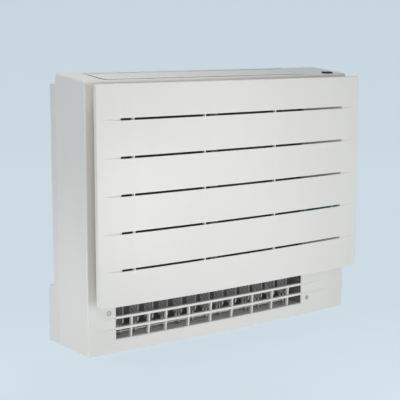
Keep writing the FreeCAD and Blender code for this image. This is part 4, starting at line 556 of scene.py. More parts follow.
def block(name: str, *spans: Span) -> Piece:
    """Adds a box.

    Args:
        name: object name.
        spans: its ends along X, along Y and along Z, in either order.

    Returns:
        The box.
    """
    ends = [sorted(span) for span in spans]
    place = [(low + high) / 2 for low, high in ends]
    size = [high - low for low, high in ends]
    bpy.ops.object.select_all(action="DESELECT")
    bpy.ops.mesh.primitive_cube_add(size=1.0, location=place, scale=size)
    return settle(bpy.context.active_object, name)


def tablet(name: str, spans: Sequence[Span], radius: float, segments: int) -> Piece:
    """Adds a box with rounded upright edges.

    Args:
        name: object name.
        spans: its ends along X, along Y and along Z.
        radius: radius of the edges.
        segments: faces across an edge.

    Returns:
        The box.
    """
    made = block(name, *spans)
    bevel(made, lambda edge: along(edge, Axis.Z), radius, segments)
    return made


def taper(name: str, radii: Span, start: Point, end: Point, sides: int) -> Piece:
    """Adds a cone or a round bar between two points.

    Args:
        name: object name.
        radii: radius at the start and at the end.
        start: middle of the first end.
        end: middle of the other end.
        sides: faces around it.

    Returns:
        The cone.
    """
    first, last = Vector(start), Vector(end)
    way = last - first
    bpy.ops.object.select_all(action="DESELECT")
    turn = way.to_track_quat("Z", "Y").to_euler()
    bpy.ops.mesh.primitive_cone_add(vertices=sides, radius1=radii[0], radius2=radii[1], depth=way.length,
                                    location=(first + last) / 2, rotation=turn)
    return settle(bpy.context.active_object, name)


def rod(name: str, radius: float, start: Point, end: Point, sides: int) -> Piece:
    """Adds a round bar between two points."""
    return taper(name, (radius, radius), start, end, sides)


def axle(name: str, radius: float, ends: Span, y: float, z: float, sides: int = LARGE) -> Piece:
    """Adds a round bar along X between two ends."""
    return rod(name, radius, (ends[0], y, z), (ends[1], y, z), sides)


def groove(name: str, radius: float, ends: Span, z: float, line: Line) -> Piece:
    """Adds a cutter that runs out to a point along a bowed front, given as Y at X."""
    start, tip = ((x, line(x), z) for x in ends)
    return taper(name, (radius, radius / 10), start, tip, THIN)


@contextmanager
def editing(piece: Piece) -> Iterator[None]:
    """Edit mode on one piece, with nothing selected in it.

    Args:
        piece: the object.
    """
    focus(piece)
    bpy.ops.object.mode_set(mode="EDIT")
    bpy.ops.mesh.select_all(action="DESELECT")
    try:
        yield
    finally:
        bpy.ops.object.mode_set(mode="OBJECT")


def pick(piece: Piece, part: Part, test: Test) -> int:
    """Selects elements in edit mode.

    Args:
        piece: the object in edit mode.
        part: vertices, edges or faces.
        test: true for the bmesh elements to select.

    Returns:
        How many were selected.
    """
    bpy.ops.mesh.select_mode(type=part.name)
    bpy.ops.mesh.select_all(action="DESELECT")
    mesh = bmesh.from_edit_mesh(piece.data)
    mesh.normal_update()
    chosen = [element for element in getattr(mesh, part.value) if test(element)]
    for element in chosen:
        element.select_set(True)
    mesh.select_flush_mode()
    bmesh.update_edit_mesh(piece.data)
    return len(chosen)


def bisect(piece: Piece, spot: Point, normal: Point, clear: bool) -> None:
    """Cuts a piece by a plane.

    Args:
        piece: the object.
        spot: a point of the plane.
        normal: the plane's normal.
        clear: whether what lies on the normal's side goes, with the cut closed.
    """
    with editing(piece):
        bpy.ops.mesh.select_all(action="SELECT")
        bpy.ops.mesh.bisect(plane_co=spot, plane_no=normal, use_fill=clear, clear_outer=clear)


def bevel(piece: Piece, test: Test, width: float, segments: int) -> None:
    """Rounds the edges that a test picks.

    Args:
        piece: the object.
        test: true for those edges.
        width: radius of the rounding.
        segments: faces across it.
    """
    with editing(piece):
        if pick(piece, Part.EDGE, test):
            bpy.ops.mesh.bevel(offset=width, segments=segments, affect="EDGES", profile=0.5,
                               clamp_overlap=True)


def bow(piece: Piece, columns: int, limits: Span, shift: Callable[[float], Vector],
        test: Test = lambda spot: True, axis: Axis = Axis.X) -> None:
    """Cuts a piece into columns along an axis and moves the picked points of each column.

    Args:
        piece: the object to shape.
        columns: number of columns.
        limits: first and last place along the axis.
        shift: how far the points at a place move.
        test: true for the places of the points that move.
        axis: the axis.
    """
    step = (limits[1] - limits[0]) / columns
    way = Vector([index == axis for index in Axis])
    for index in range(1, columns):
        bisect(piece, way * (limits[0] + step * index), way, False)
    places = sorted({round(vertex.co[axis], 5) for vertex in piece.data.vertices if test(vertex.co)})
    rounding = 6e-6
    with editing(piece):
        for place in places:
            pick(piece, Part.VERT, lambda vertex: abs(vertex.co[axis] - place) < rounding and test(vertex.co))
            bpy.ops.transform.translate(value=shift(place))


def follow(piece: Piece, columns: int, limits: Span, start: float, line: Line) -> None:
    """Brings the points at one Y, called the start, onto a line that gives Y at X."""
    bow(piece, columns, limits, lambda x: Vector((0.0, line(x) - start, 0.0)),
        lambda spot: near(spot.y, start))


def drop_faces(piece: Piece, test: Test) -> None:
    """Deletes the faces that a test picks.

    Args:
        piece: the object.
        test: true for those faces.
    """
    with editing(piece):
        pick(piece, Part.FACE, test)
        bpy.ops.mesh.delete(type="FACE")


def modify(piece: Piece, kind: str, **settings: object) -> None:
    """Adds a modifier, sets it and applies it.

    Args:
        piece: the object.
        kind: the modifier's type.
        settings: its attributes.
    """
    focus(piece)
    modifier = piece.modifiers.new(kind.lower(), kind)
    for key, value in settings.items():
        setattr(modifier, key, value)
    bpy.ops.object.modifier_apply(modifier=modifier.name)


def unite(name: str, pieces: Sequence[Piece]) -> Piece:
    """Joins two or more objects into one.

    Args:
        name: name of the whole.
        pieces: the objects.

    Returns:
        The whole.
    """
    focus(*pieces)
    bpy.ops.object.join()
    pieces[0].name = name
    return pieces[0]


def carve(piece: Piece, others: Sequence[Piece], merge: Merge = Merge.CUT) -> None:
    """Cuts other pieces out of a piece, or adds them to it, and removes them.

    Args:
        piece: the object that stays.
        others: the cutters or additions.
        merge: which of the two is done.
    """
    for other in others:
        modify(piece, "BOOLEAN", operation=merge.value, solver="EXACT", object=other)
        bpy.data.objects.remove(other)


def thicken(piece: Piece, wall: float) -> None:
    """Gives a shell its wall, inwards."""
    modify(piece, "SOLIDIFY", thickness=wall, offset=-1.0, use_even_offset=True)


def soften(piece: Piece, width: float, angle: float = 40.0) -> None:
    """Rounds every edge that is sharper than an angle in degrees."""
    modify(piece, "BEVEL", width=width, segments=2, limit_method="ANGLE", angle_limit=math.radians(angle))


def smooth(piece: Piece, angle: float = 32.0) -> None:
    """Shades a piece smooth up to an angle in degrees."""
    focus(piece)
    bpy.ops.object.shade_smooth_by_angle(angle=math.radians(angle))


def duplicate(piece: Piece, name: str, shift: Point) -> Piece:
    """Copies a piece with a mesh of its own.

    Args:
        piece: the pattern.
        name: the copy's name.
        shift: how far the copy moves, in its mesh.

    Returns:
        The copy.
    """
    twin = piece.copy()
    twin.data = piece.data.copy()
    bpy.context.scene.collection.objects.link(twin)
    twin.location = shift
    return settle(twin, name)


def near(a: float, b: float) -> bool:
    """True for two lengths that are the same but for rounding."""
    return abs(a - b) < SLACK


def middle(edge: Edge) -> Vector:
    """Middle of an edge."""
    return (edge.verts[0].co + edge.verts[1].co) / 2


def sharp(edge: Edge, angle: float = 0.6) -> bool:
    """True for an edge whose two faces meet at more than an angle in radians."""
    return len(edge.link_faces) == 2 and edge.calc_face_angle() > angle


def along(edge: Edge, axis: Axis) -> bool:
    """True for an edge that runs along an axis."""
    return abs((edge.verts[1].co - edge.verts[0].co).normalized()[axis]) > ALONG


def crosswise(edge: Edge, y: float, z: float) -> bool:
    """True for an edge along X at a place."""
    return along(edge, Axis.X) and near(middle(edge).y, y) and near(middle(edge).z, z)


# The cabinet


@dataclass
class Form:
    """Main sizes that the pieces share, in metres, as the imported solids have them."""

    half: float = 0.375
    panel_crown: float = -0.1125
    panel_bow: float = 0.012
    casing_crown: float = -0.068
    casing_bow: float = 0.0125
    seam: float = 0.0675
    joint: float = 0.0003
    wall: float = 0.0025
    top: float = 0.600
    top_rear: float = 0.0595
    top_fall: float = 0.013
    rear_top: float = 0.577
    air: Span = (-0.310, 0.230)
    pivot: Point = (0.330, -0.0765, 0.124)
    eye_radius: float = 0.007
    screws: tuple[Span, ...] = ((-0.324, 0.089), (0.248, 0.040))
    soft_edge: float = 0.0005
    fine_edge: float = 0.0004

    @property
    def width(self) -> Span:
        """The two ends along X."""
        return (-self.half, self.half)

    def arc(self, x: float, crown: float, bow: float, inset: float) -> float:
        """Y of a bowed front at x, moved inwards by an inset."""
        radius = (self.half ** 2 + bow ** 2) / (2 * bow)
        return crown + radius - math.sqrt((radius - inset) ** 2 - x ** 2)

    def panel_y(self, x: float, inset: float = 0.0) -> float:
        """Y of the panel's front at x."""
        return self.arc(x, self.panel_crown, self.panel_bow, inset)

    def casing_y(self, x: float, inset: float = 0.0) -> float:
        """Y of the casing's front at x."""
        return self.arc(x, self.casing_crown, self.casing_bow, inset)

    @property
    def casing_corner(self) -> float:
        """Y of the casing's front corners."""
        return self.casing_crown + self.casing_bow

    @property
    def slope(self) -> float:
        """Angle of the top."""
        return math.atan2(self.top_fall, self.top_rear - self.casing_corner)

    @property
    def top_normal(self) -> Point:
        """Direction that the top faces."""
        return (0.0, -math.sin(self.slope), math.cos(self.slope))

    def top_z(self, y: float) -> float:
        """Height of the top at y."""
        return self.top - math.tan(self.slope) * (self.top_rear - y)


@dataclass
class Assembly:
    """What every sub-assembly holds: the shared sizes and the finishes."""

    form: Form
    paints: Paintbox

    def hand_over(self, piece: Piece, body: str, slot: str, *nodes: str) -> None:
        """Finishes a piece: smooth shading, the slot's material, its body, and hiding the nodes it stands
        for.

        Args:
            piece: the modelled object.
            body: CAD body it rides on.
            slot: the record's material slot.
            nodes: CAD nodes that it replaces.
        """
        smooth(piece)
        modify(piece, "WEIGHTED_NORMAL", keep_sharp=True)
        self.paints.coat(piece, slot)
        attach(piece, body)
        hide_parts(*nodes)
        LOG.info("%s on %s, %d faces", piece.name, body, len(piece.data.polygons))

    def bowed_bar(self, name: str, limits: Span, insets: Span, heights: Span, columns: int) -> Piece:
        """A bar that follows the casing's bowed front.

        Args:
            name: object name.
            limits: first and last X.
            insets: depth of its front and its back behind the casing's front.
            heights: lower and upper Z.
            columns: straight lengths that make up the curve.

        Returns:
            The bar.
        """
        front, back = -0.1, -0.05
        bar = block(name, limits, (front, back), heights)
        for start, inset, cuts in ((front, insets[0], columns), (back, insets[1], 1)):
            follow(bar, cuts, limits, start, lambda x: self.form.casing_y(x, inset))
        return bar

    def hinge_eye(self, name: str, ends: Span, root: float) -> Piece:
        """A block that ends in an eye on the panel's hinge line.

        Args:
            name: object name.
            ends: its two ends along X.
            root: Y of the wall that carries it.

        Returns:
            The block.
        """
        radius, (_, y, z) = self.form.eye_radius, self.form.pivot
        made = block(name, ends, (root, y), (z - radius, z + radius))
        carve(made, [axle("eye", radius, ends, y, z)], Merge.ADD)
        return made


class Carried(Assembly):
    """The CAD nodes that stay as they are and only get their finish."""

    def build(self) -> None:
        """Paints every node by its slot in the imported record."""
        slots = {row["node"]: row["material_slot"] for row in frame["record"]["subparts"]}
        for name, node in frame["nodes"].items():
            self.paints.coat(node, slots[name])


@dataclass
class PanelAssembly(Assembly):
    """The bowed front panel with its slots, ribs, hinge lugs and stopper rails."""

    bottom: float = 0.1125
    top: float = 0.582
    front_cut: float = -0.2
    back: float = -0.0915
    corner_radii: Span = (0.010, 0.005)
    edge_radius: float = 0.0016
    columns: int = 48
    first_slot: float = 0.5085
    slot_pitch: float = 0.07965
    slot_count: int = 5
    slot_gap: float = 0.005
    slot_end: float = 0.317
    slot_fade: float = 0.046
    slot_lip: float = 0.0011
    lip_depth: float = 2e-4
    rib_places: tuple[float, ...] = (-0.285, -0.103, 0.099)
    rib_width: float = 0.003
    rib_inset: float = 0.0023
    rib_depth: float = 0.008
    lug_width: float = 0.010
    pin_bore: float = 0.00305
    stopper: Point = (0.323, -0.0993, 0.552)
    stopper_size: Point = (0.052, 0.0083, 0.0146)
    rail: float = 0.003
    rail_columns: int = 6

    @property
    def slots(self) -> list[float]:
        """Z of the middle of each slot."""
        return [self.first_slot - index * self.slot_pitch for index in range(self.slot_count)]

    def shell(self) -> Piece:
        """The bowed tray with rounded corners, open at the back.

        Returns:
            The tray.
        """
        form = self.form
        corner = form.panel_crown + form.panel_bow
        shell = block("front_panel_moulding", form.width, (corner, self.back), (self.bottom, self.top))
        for height, radius in zip((self.bottom, self.top), self.corner_radii):
            bevel(shell, lambda edge: along(edge, Axis.Y) and near(middle(edge).z, height), radius,
                  segments=6)
        follow(shell, self.columns, form.width, corner, form.panel_y)
        bevel(shell, lambda edge: sharp(edge) and all(v.co.y < corner + SLACK for v in edge.verts),
              self.edge_radius, segments=3)
        drop_faces(shell, lambda face: face.normal.y > ALONG)
        thicken(shell, form.wall)
        return shell

    def slot_cutters(self) -> list[Piece]:
        """Cutters of the slots and of the grooves that run out beyond their ends.

        Returns:
            The cutters.
        """
        half, end = self.slot_gap / 2, self.slot_end
        tip = end + self.slot_fade
        cutters = []
        for z in self.slots:
            cutters.append(block("slot", (-end, end), (self.front_cut, self.back), (z - half, z + half)))
            for sign in SIDES:
                cutters.append(groove("run_out", half, (sign * end, sign * tip), z, self.form.panel_y))
        return cutters

    def at_lip(self, edge: Edge) -> bool:
        """True for the long edges of the slots at the panel's front.

        Args:
            edge: an edge of the cut panel.

        Returns:
            Whether it is one.
        """
        at_slot = any(near(abs(middle(edge).z - z), self.slot_gap / 2) for z in self.slots)
        at_front = all(v.co.y < self.form.panel_y(v.co.x) + self.lip_depth for v in edge.verts)
        return at_slot and at_front and sharp(edge) and along(edge, Axis.X)

    def ribs(self) -> list[Piece]:
        """Upright ribs behind the slots.

        Returns:
            The ribs.
        """
        half, inset = self.rib_width / 2, self.form.wall / 2
        ribs = []
        for x in self.rib_places:
            front = self.form.panel_y(abs(x) - half, self.rib_inset)
            ribs.append(block("rib", (x - half, x + half), (front, front + self.rib_depth),
                              (self.bottom + inset, self.top - inset)))
        return ribs

    def fittings(self, sign: int) -> list[Piece]:
        """Hinge lug and stopper rails of one side.

        Args:
            sign: -1 for the left side, 1 for the right.

        Returns:
            The lug and the two rails.
        """
        form = self.form
        x, y, z = form.pivot
        left, right = sign * x - self.lug_width / 2, sign * x + self.lug_width / 2
        lug = self.hinge_eye("lug", (left, right), form.panel_y(x, form.wall))
        carve(lug, [axle("bore", self.pin_bore, (left - CLEAR, right + CLEAR), y, z)])
        soften(lug, form.soft_edge)
        made = [lug]
        x, front, z = self.stopper
        length, depth, height = self.stopper_size
        spread = (sign * x - length / 2, sign * x + length / 2)
        back = front + depth + self.rail
        for side in SIDES:
            inner = z + side * height / 2
            outer = inner + side * self.rail
            wall = block("rail", spread, (front, back), (inner, outer))
            follow(wall, self.rail_columns, spread, front, lambda x: form.panel_y(x, form.wall / 2))
            lip = block("lip", spread, (front + depth, back), (inner - side * self.rail, outer))
            carve(wall, [lip], Merge.ADD)
            soften(wall, form.fine_edge)
            made.append(wall)
        return made

    def build(self) -> None:
        """Models and hands over the panel."""
        shell = self.shell()
        carve(shell, self.slot_cutters())
        bevel(shell, self.at_lip, self.slot_lip, segments=2)
        panel = unite("panel_face", [shell, *self.ribs(), *self.fittings(-1), *self.fittings(1)])
        self.hand_over(panel, Body.PANEL.value, "white_shell", "front_panel")


@dataclass
class CasingAssembly(Assembly):
    """The front casing: sides, sloping top and the front with its openings."""

    edge_radius: float = 0.008
    corner_radius: float = 0.003
    spare: float = 0.02
    columns: int = 48
    bay: Span = (0.1313, 0.5457)
    bay_back: float = -0.046
    bay_wall: float = 0.002
    bay_lip: float = 0.006
    bay_insets: Span = (0.001, 0.0215)
    bay_columns: int = 24
    mullion: float = 0.010
    mullion_inset: float = 0.0005
    front_cut: Span = (-0.2, -0.05)
    grille: Span = (0.028, 0.103)
    flap_x: Span = (-0.3195, 0.2486)
    flap_y: Span = (-0.0446, 0.04787)
    flap_cut: Span = (0.55, 0.62)
    flap_lip: float = 0.0024
    window_x: Span = (0.3117, 0.3273)
    button_x: Span = (0.3287, 0.3383)
    window_y: Span = (-0.0478, -0.0312)
    window_cut: Span = (0.56, 0.62)
    hole_radii: Span = (0.0043, 0.0038)
    recess: Span = (0.0056, 0.0022)
    creases: Span = (0.0523, 0.0766)
    crease_radius: float = 0.0016
    crease_reach: Span = (-0.040, 0.100)
    switch_x: Span = (0.3221, 0.3279)
    switch_z: Span = (0.2601, 0.2739)
    ear: Span = (0.0055, 0.0095)
    hook: Point = (0.337, -0.0873, 0.552)
    hook_size: Point = (0.012, 0.004, 0.008)

    def shell(self) -> Piece:
        """The hollow shell with its rounded edges.

        Returns:
            The shell.
        """
        form = self.form
        corner, back = form.casing_corner, form.seam - form.joint
        shell = block("front_casing_moulding", form.width, (corner, back), (0.0, form.top + self.spare))
        bisect(shell, (0, form.top_rear, form.top), form.top_normal, True)
        chamfer = (0, form.top - form.rear_top, form.seam - form.top_rear)
        bisect(shell, (0, form.seam, form.rear_top), chamfer, True)

        def forward(x: float, climb: float) -> Vector:
            """Move of the front at x, and up by a share of it."""
            depth = form.casing_y(x) - corner
            return Vector((0.0, depth, climb * depth))

        def at_front(spot: Vector, high: bool) -> bool:
            """True for a point of the front's upper or lower half."""
            return near(spot.y, corner) and (spot.z > form.top / 2) == high

        def upper_front(edge: Edge) -> bool:
            """True for the edges between the front and the top."""
            on_top = all(near(vertex.co.z, form.top_z(vertex.co.y)) for vertex in edge.verts)
            return sharp(edge) and on_top and middle(edge).y < corner + SLACK

        def of_side(edge: Edge) -> bool:
            """True for the edges around the two sides, apart from those behind and below."""
            at_side = all(near(abs(v.co.x), form.half) and v.co.y < form.top_rear + SLACK for v in edge.verts)
            return sharp(edge) and at_side and any(vertex.co.z > form.wall for vertex in edge.verts)

        for high, climb, columns in ((False, 0.0, self.columns), (True, math.tan(form.slope), 1)):
            bow(shell, columns, form.width, lambda x: forward(x, climb), lambda spot: at_front(spot, high))
        bevel(shell, upper_front, self.edge_radius, segments=6)
        bevel(shell, of_side, self.corner_radius, segments=4)
        drop_faces(shell, lambda face: face.normal.z < -ALONG
                   or all(v.co.y > back - SLACK for v in face.verts))
        thicken(shell, form.wall)
        return shell

    def cutters(self) -> list[Piece]:
        """Cutters of all the openings.

        Returns:
            The cutters.
        """
        form, start = self.form, self.front_cut[0]
        made = [
            block("bay", form.air, (start, self.bay_back), self.bay),
            block("outlet", form.air, self.front_cut, self.grille),
            block("flap", self.flap_x, self.flap_y, self.flap_cut),
            block("switch", self.switch_x, self.front_cut, self.switch_z),
        ]
        for x, radius in zip((self.window_x, self.button_x), self.hole_radii):
            made.append(tablet("hole", (x, self.window_y, self.window_cut), radius, segments=6))
        radius, depth = self.recess
        for x, z in form.screws:
            made.append(rod("recess", radius, (x, start, z), (x, form.casing_y(x) + depth, z), LARGE))
        for z in self.creases:
            for x, reach in zip(form.air, self.crease_reach):
                made.append(groove("crease", self.crease_radius, (x, x + reach), z, form.casing_y))
        return made

    def at_flap(self, edge: Edge) -> bool:
        """True for the front and left edges of the opening under the flap.

        Args:
            edge: an edge of the cut casing.

        Returns:
            Whether it is one.
        """
        spot = middle(edge)
        at_front = along(edge, Axis.X) and near(spot.y, self.flap_y[0])
        at_left = along(edge, Axis.Y) and near(spot.x, self.flap_x[0])
        return (at_front or at_left) and sharp(edge) and near(spot.z, self.form.top_z(spot.y))

    def bay_frame(self) -> list[Piece]:
        """Walls, lip and mullion of the filter bay.

        Returns:
            The pieces of the frame.
        """
        form, wall, lip, back = self.form, self.bay_wall, self.bay_lip, self.bay_back
        (left, right), (low, high) = form.air, self.bay
        made = []
        for z in (low - wall, high):
            bar = self.bowed_bar("bay_wall", (left - wall, right + wall), self.bay_insets, (z, z + wall),
                                 self.bay_columns)
            bisect(bar, (0, back, 0), (0, 1, 0), True)
            made.append(bar)
        for x in (left - wall, right):
            front = form.casing_y(x) + self.bay_insets[0]
            made.append(block("bay_side", (x, x + wall), (front, back), self.bay))
        for x in (left, right - lip):
            made.append(block("lip", (x, x + lip), (back - wall, back), self.bay))
        for z in (low, high - lip):
            made.append(block("lip", form.air, (back - wall, back), (z, z + lip)))
        centre, half = (left + right) / 2, self.mullion / 2
        front = form.casing_y(centre) + self.mullion_inset
        width, height = (centre - half, centre + half), (low - wall, high + wall)
        made.append(block("mullion", width, (front, back), height))
        return made

    def fittings(self, sign: int) -> list[Piece]:
        """Hinge ears and stopper hook of one side.

        Args:
            sign: -1 for the left side, 1 for the right.

        Returns:
            The two ears and the hook.
        """
        form = self.form
        made = []
        x = form.pivot[0]
        for side in SIDES:
            ends = sorted(sign * x + side * offset for offset in self.ear)
            ear = self.hinge_eye("ear", ends, form.casing_y(x, form.wall / 2))
            soften(ear, form.soft_edge)
            made.append(ear)
        x, front, z = self.hook
        width, depth, height = self.hook_size
        far, level = x + width, (z - height / 2, z + height / 2)
        hook = block("hook", (sign * x, sign * far), (front, front + depth), level)
        root = form.casing_y(far, form.wall / 2)
        post = block("post", (sign * (far - depth), sign * far), (front, root), level)
        carve(hook, [post], Merge.ADD)
        soften(hook, form.fine_edge)
        return [*made, hook]

    def build(self) -> None:
        """Models and hands over the casing."""
        shell = self.shell()
        carve(shell, self.cutters())
        bevel(shell, self.at_flap, self.flap_lip, segments=3)
        casing = unite("casing_front", [shell, *self.bay_frame(), *self.fittings(-1), *self.fittings(1)])
        self.hand_over(casing, Body.CABINET.value, "white_shell", "front_casing")


@dataclass
class GrilleAssembly(Assembly):
    """The outlet grille: rim, two long bars and the posts between them."""

    heights: Span = (0.0283, 0.1027)
    depth: float = 0.010
    gap: float = 0.0003
    rim: Span = (0.0025, 0.00125)
    bars: Span = (0.0523, 0.0766)
    bar: float = 0.0054
    post: float = 0.0036
    lean: float = 0.003
    cells: tuple[float, ...] = (0.045, 0.045, 0.045, 0.062, 0.062, 0.062, 0.062, 0.062, 0.052)
    columns: int = 40

    def build(self) -> None:
        """Models and hands over the grille."""
        form, half = self.form, self.post / 2
        (low, high), (side, flat) = self.heights, self.rim
        limits = (form.air[0] + self.gap, form.air[1] - self.gap)
        spans = [(low, low + flat), (high - flat, high)]
        spans += [(z - self.bar / 2, z + self.bar / 2) for z in self.bars]
        parts = [self.bowed_bar("bar", limits, (0.0, self.depth), span, self.columns) for span in spans]
        for start in (limits[0], limits[1] - side):
            parts.append(self.bowed_bar("end", (start, start + side), (0.0, form.wall), self.heights, 1))
        foot, head = ends = (low, self.bars[-1])
        x = form.air[0]
        for cell in self.cells:
            x += cell
            post = self.bowed_bar("post", (x - half, x + half), (form.wall, self.depth), ends, 1)
            bow(post, 1, ends, lambda z: Vector((self.lean * (z - head) / (head - foot), 0.0, 0.0)),
                axis=Axis.Z)
            parts.append(post)
        for part in parts:
            soften(part, form.soft_edge)
        self.hand_over(unite("outlet_bars", parts), Body.CABINET.value, "white_shell", "outlet_grille")


@dataclass
class FlapAssembly(Assembly):
    """The flap over the upper outlet."""

    limits: Span = (-0.3162, 0.247)
    reach: float = 0.081
    thickness: float = 0.004
    knuckle: float = 0.007
    knuckle_sides: int = 48
    edge: float = 0.0004
    pin_radius: float = 0.0025
    pin: float = 0.006
    hinge: Span = (0.039267, 0.590668)

    def build(self) -> None:
        """Models the flap flat at the origin, then sets it on its hinge line and hands it over."""
        left, top = self.limits[0], self.knuckle
        plate = block("flap", self.limits, (-self.reach, 0.0), (top - self.thickness, top))
        bisect(plate, (0.0, -self.reach + self.edge, top), (0.0, -1.0, -1.0), True)
        bisect(plate, (left + self.edge, 0.0, top), (-1.0, 0.0, -1.0), True)
        carve(plate, [axle("knuckle", self.knuckle, self.limits, 0.0, 0.0, self.knuckle_sides)], Merge.ADD)
        soften(plate, self.edge)
        pins = [axle("pin", self.pin_radius, (end, end + way * self.pin), 0.0, 0.0, SLIM)
                for end, way in zip(self.limits, SIDES)]
        flap = unite("upper_flap", [plate, *pins])
        flap.rotation_euler = (self.form.slope, 0.0, 0.0)
        flap.location = (0.0, *self.hinge)
        self.hand_over(settle(flap, "upper_flap"), Body.FLAP.value, "white_shell", "top_flap")


@dataclass
class LouverAssembly(Assembly):
    """The upright blades behind the grille: one is modelled and the rest are copies of it."""

    count: int = 13
    first: float = -0.2776
    pitch: float = 0.0396
    pivot_y: float = -0.030446
    chord: float = 0.034
    columns: int = 12
    thickness: float = 0.0018
    bend: float = 0.004
    heights: Span = (0.052, 0.100)
    nose: float = 0.013
    lip: Span = (0.0020, 0.0032)
    rib: Point = (0.0006, 0.030, 0.0014)
    rib_slant: float = 38.0
    rib_places: tuple[Span, ...] = ((-0.001, 0.088), (0.001, 0.078), (0.002, 0.068))
    pin: Point = (0.002, 0.026, 0.1047)
    crank: float = 0.012
    crank_foot: Point = (0.003, 0.037, 0.058)
    crank_pin: Point = (0.0015, 0.0305, 0.038)

    def plate(self, name: str, thickness: float, inset: float) -> Piece:
        """A flat blade with a rounded lower front corner.

        Args:
            name: object name.
            thickness: size along X.
            inset: how far its front and lower edges lie inside the full blade's.

        Returns:
            The blade.
        """
        front, back = -self.chord / 2 + inset, self.chord / 2 + inset
        low, high = (height + inset for height in self.heights)
        plate = block(name, (-thickness / 2, thickness / 2), (front, back), (low, high))
        bevel(plate, lambda edge: crosswise(edge, front, low), self.nose - inset, segments=8)
        return plate

    def blade(self) -> Piece:
        """The curved blade with its lip, ribs and pins, about a pivot at X 0 and Y 0.

        Returns:
            The blade.
        """
        width, thickness = self.lip
        lip = self.plate("lip", thickness, 0.0)
        carve(lip, [self.plate("inside", 2 * thickness, width)])
        soften(lip, self.form.soft_edge)
        parts = [self.plate("blade", self.thickness, 0.0), lip]
        for y, z in self.rib_places:
            rib = block("rib", *((-size / 2, size / 2) for size in self.rib))
            rib.location = (-self.thickness / 2, y, z)
            rib.rotation_euler = (math.radians(self.rib_slant), 0.0, 0.0)
            parts.append(settle(rib, "rib"))
        blade = unite("blade", parts)
        half = self.chord / 2
        bow(blade, self.columns, (-half, half), lambda y: Vector((-self.bend * (y / half) ** 2, 0.0, 0.0)),
            axis=Axis.Y)
        pins = [rod("pin", radius, (0.0, y, low), (0.0, y, high), THIN) for y, (radius, low, high) in
                ((0.0, self.pin), (self.crank, self.crank_foot), (self.crank, self.crank_pin))]
        return unite("blade", [blade, *pins])

    def build(self) -> None:
        """Models the blade, copies it to every pivot and hands the copies over."""
        pattern = self.blade()
        for index in range(self.count):
            number = f"{index + 1:02d}"
            place = (self.first + index * self.pitch, self.pivot_y, 0.0)
            piece = duplicate(pattern, f"louver_blade_{number}", place)
            self.hand_over(piece, f"blade_{number}", "louver_plastic", f"louver_{number}")
        bpy.data.objects.remove(pattern)


@dataclass
class RearAssembly(Assembly):
    """The rear casing: upper back, deeper foot, base and the walls of the fan chamber."""

    back: float = 0.0885
    foot_back: float = 0.1125
    foot_height: float = 0.131
    foot_radius: float = 0.017
    base: float = 0.003
    base_columns: int = 24
    seat: float = 0.0003
    lap: float = 0.010
    edge: float = 0.0012
    edge_angle: float = 50.0
    partitions: tuple[Span, ...] = ((-0.315, -0.3125), (0.2325, 0.235))
    partition_y: Span = (-0.0125, 0.08725)
    partition_z: Span = (0.0015, 0.548)
    partition_edge: float = 0.0003
    damper: Point = (0.00305, 0.03675, 0.112)
    pipe_x: Span = (0.258, 0.346)
    pipe_z: Span = (0.028, 0.098)
    pipe_cut: Span = (0.005, 0.2)
    grommet: Point = (0.010, 0.330, 0.175)
    drain: Point = (0.018, 0.251, -0.03115)

    def outline(self, name: str, inset: float, front: float) -> Piece:
        """Upper back and foot as one block.

        Args:
            name: object name.
            inset: how far its faces lie inside the outer ones.
            front: Y of its front.

        Returns:
            The block.
        """
        half, floor = self.form.half - inset, self.base if inset else 0.0
        rear, top = self.foot_back - inset, self.foot_height - inset
        strip = block(name, (-half, half), (front, self.back - inset), (floor, self.form.rear_top - inset))
        foot = block("foot", (-half, half), (front, rear), (floor, top))
        bevel(foot, lambda edge: crosswise(edge, rear, top), self.foot_radius - inset, segments=8)
        carve(strip, [foot], Merge.ADD)
        return strip

    def shell(self) -> Piece:
        """The hollow back with its openings.

        Returns:
            The shell.
        """
        form, back = self.form, self.back
        shell = self.outline("rear_moulding", 0.0, form.seam + form.joint)
        soften(shell, self.edge, self.edge_angle)
        radius, x, z = self.grommet
        carve(shell, [
            self.outline("inside", form.wall, form.seam - self.lap),
            block("pipes", self.pipe_x, (back + self.pipe_cut[0], self.pipe_cut[1]), self.pipe_z),
            rod("cable", radius, (x, back - CLEAR, z), (x, back + CLEAR, z), LARGE),
        ])
        return shell

    def inner_walls(self) -> list[Piece]:
        """Base plate, flanges and partitions.

        Returns:
            The walls.
        """
        form = self.form
        gap = form.wall + self.seat
        half, start = form.half - gap, form.casing_corner
        base = block("base", (-half, half), (start, form.seam + form.wall), (0.0, self.base))
        follow(base, self.base_columns, (-half, half), start, lambda x: form.casing_y(x, gap))
        radius, x, y = self.drain
        carve(base, [rod("drain", radius, (x, y, -CLEAR), (x, y, CLEAR), LARGE)])
        made = [base]
        deep, height = form.seam + 2 * form.wall, (0.0, form.rear_top - self.lap)
        for sign in SIDES:
            inner, outer = sign * (half - form.wall), sign * (form.half - form.wall / 2)
            made.append(block("flange", (sign * half, inner), (form.seam - self.lap, deep), height))
            made.append(block("web", (outer, inner), (form.seam + form.joint, deep), height))
        radius, y, z = self.damper
        for low, high in self.partitions:
            wall = block("partition", (low, high), self.partition_y, self.partition_z)
            carve(wall, [axle("pin_hole", radius, (low - CLEAR, high + CLEAR), y, z, MIDDLING)])
            soften(wall, self.partition_edge)
            made.append(wall)
        return made

    def build(self) -> None:
        """Models and hands over the rear casing."""
        casing = unite("casing_rear", [self.shell(), *self.inner_walls()])
        self.hand_over(casing, Body.CABINET.value, "white_back", "rear_casing")


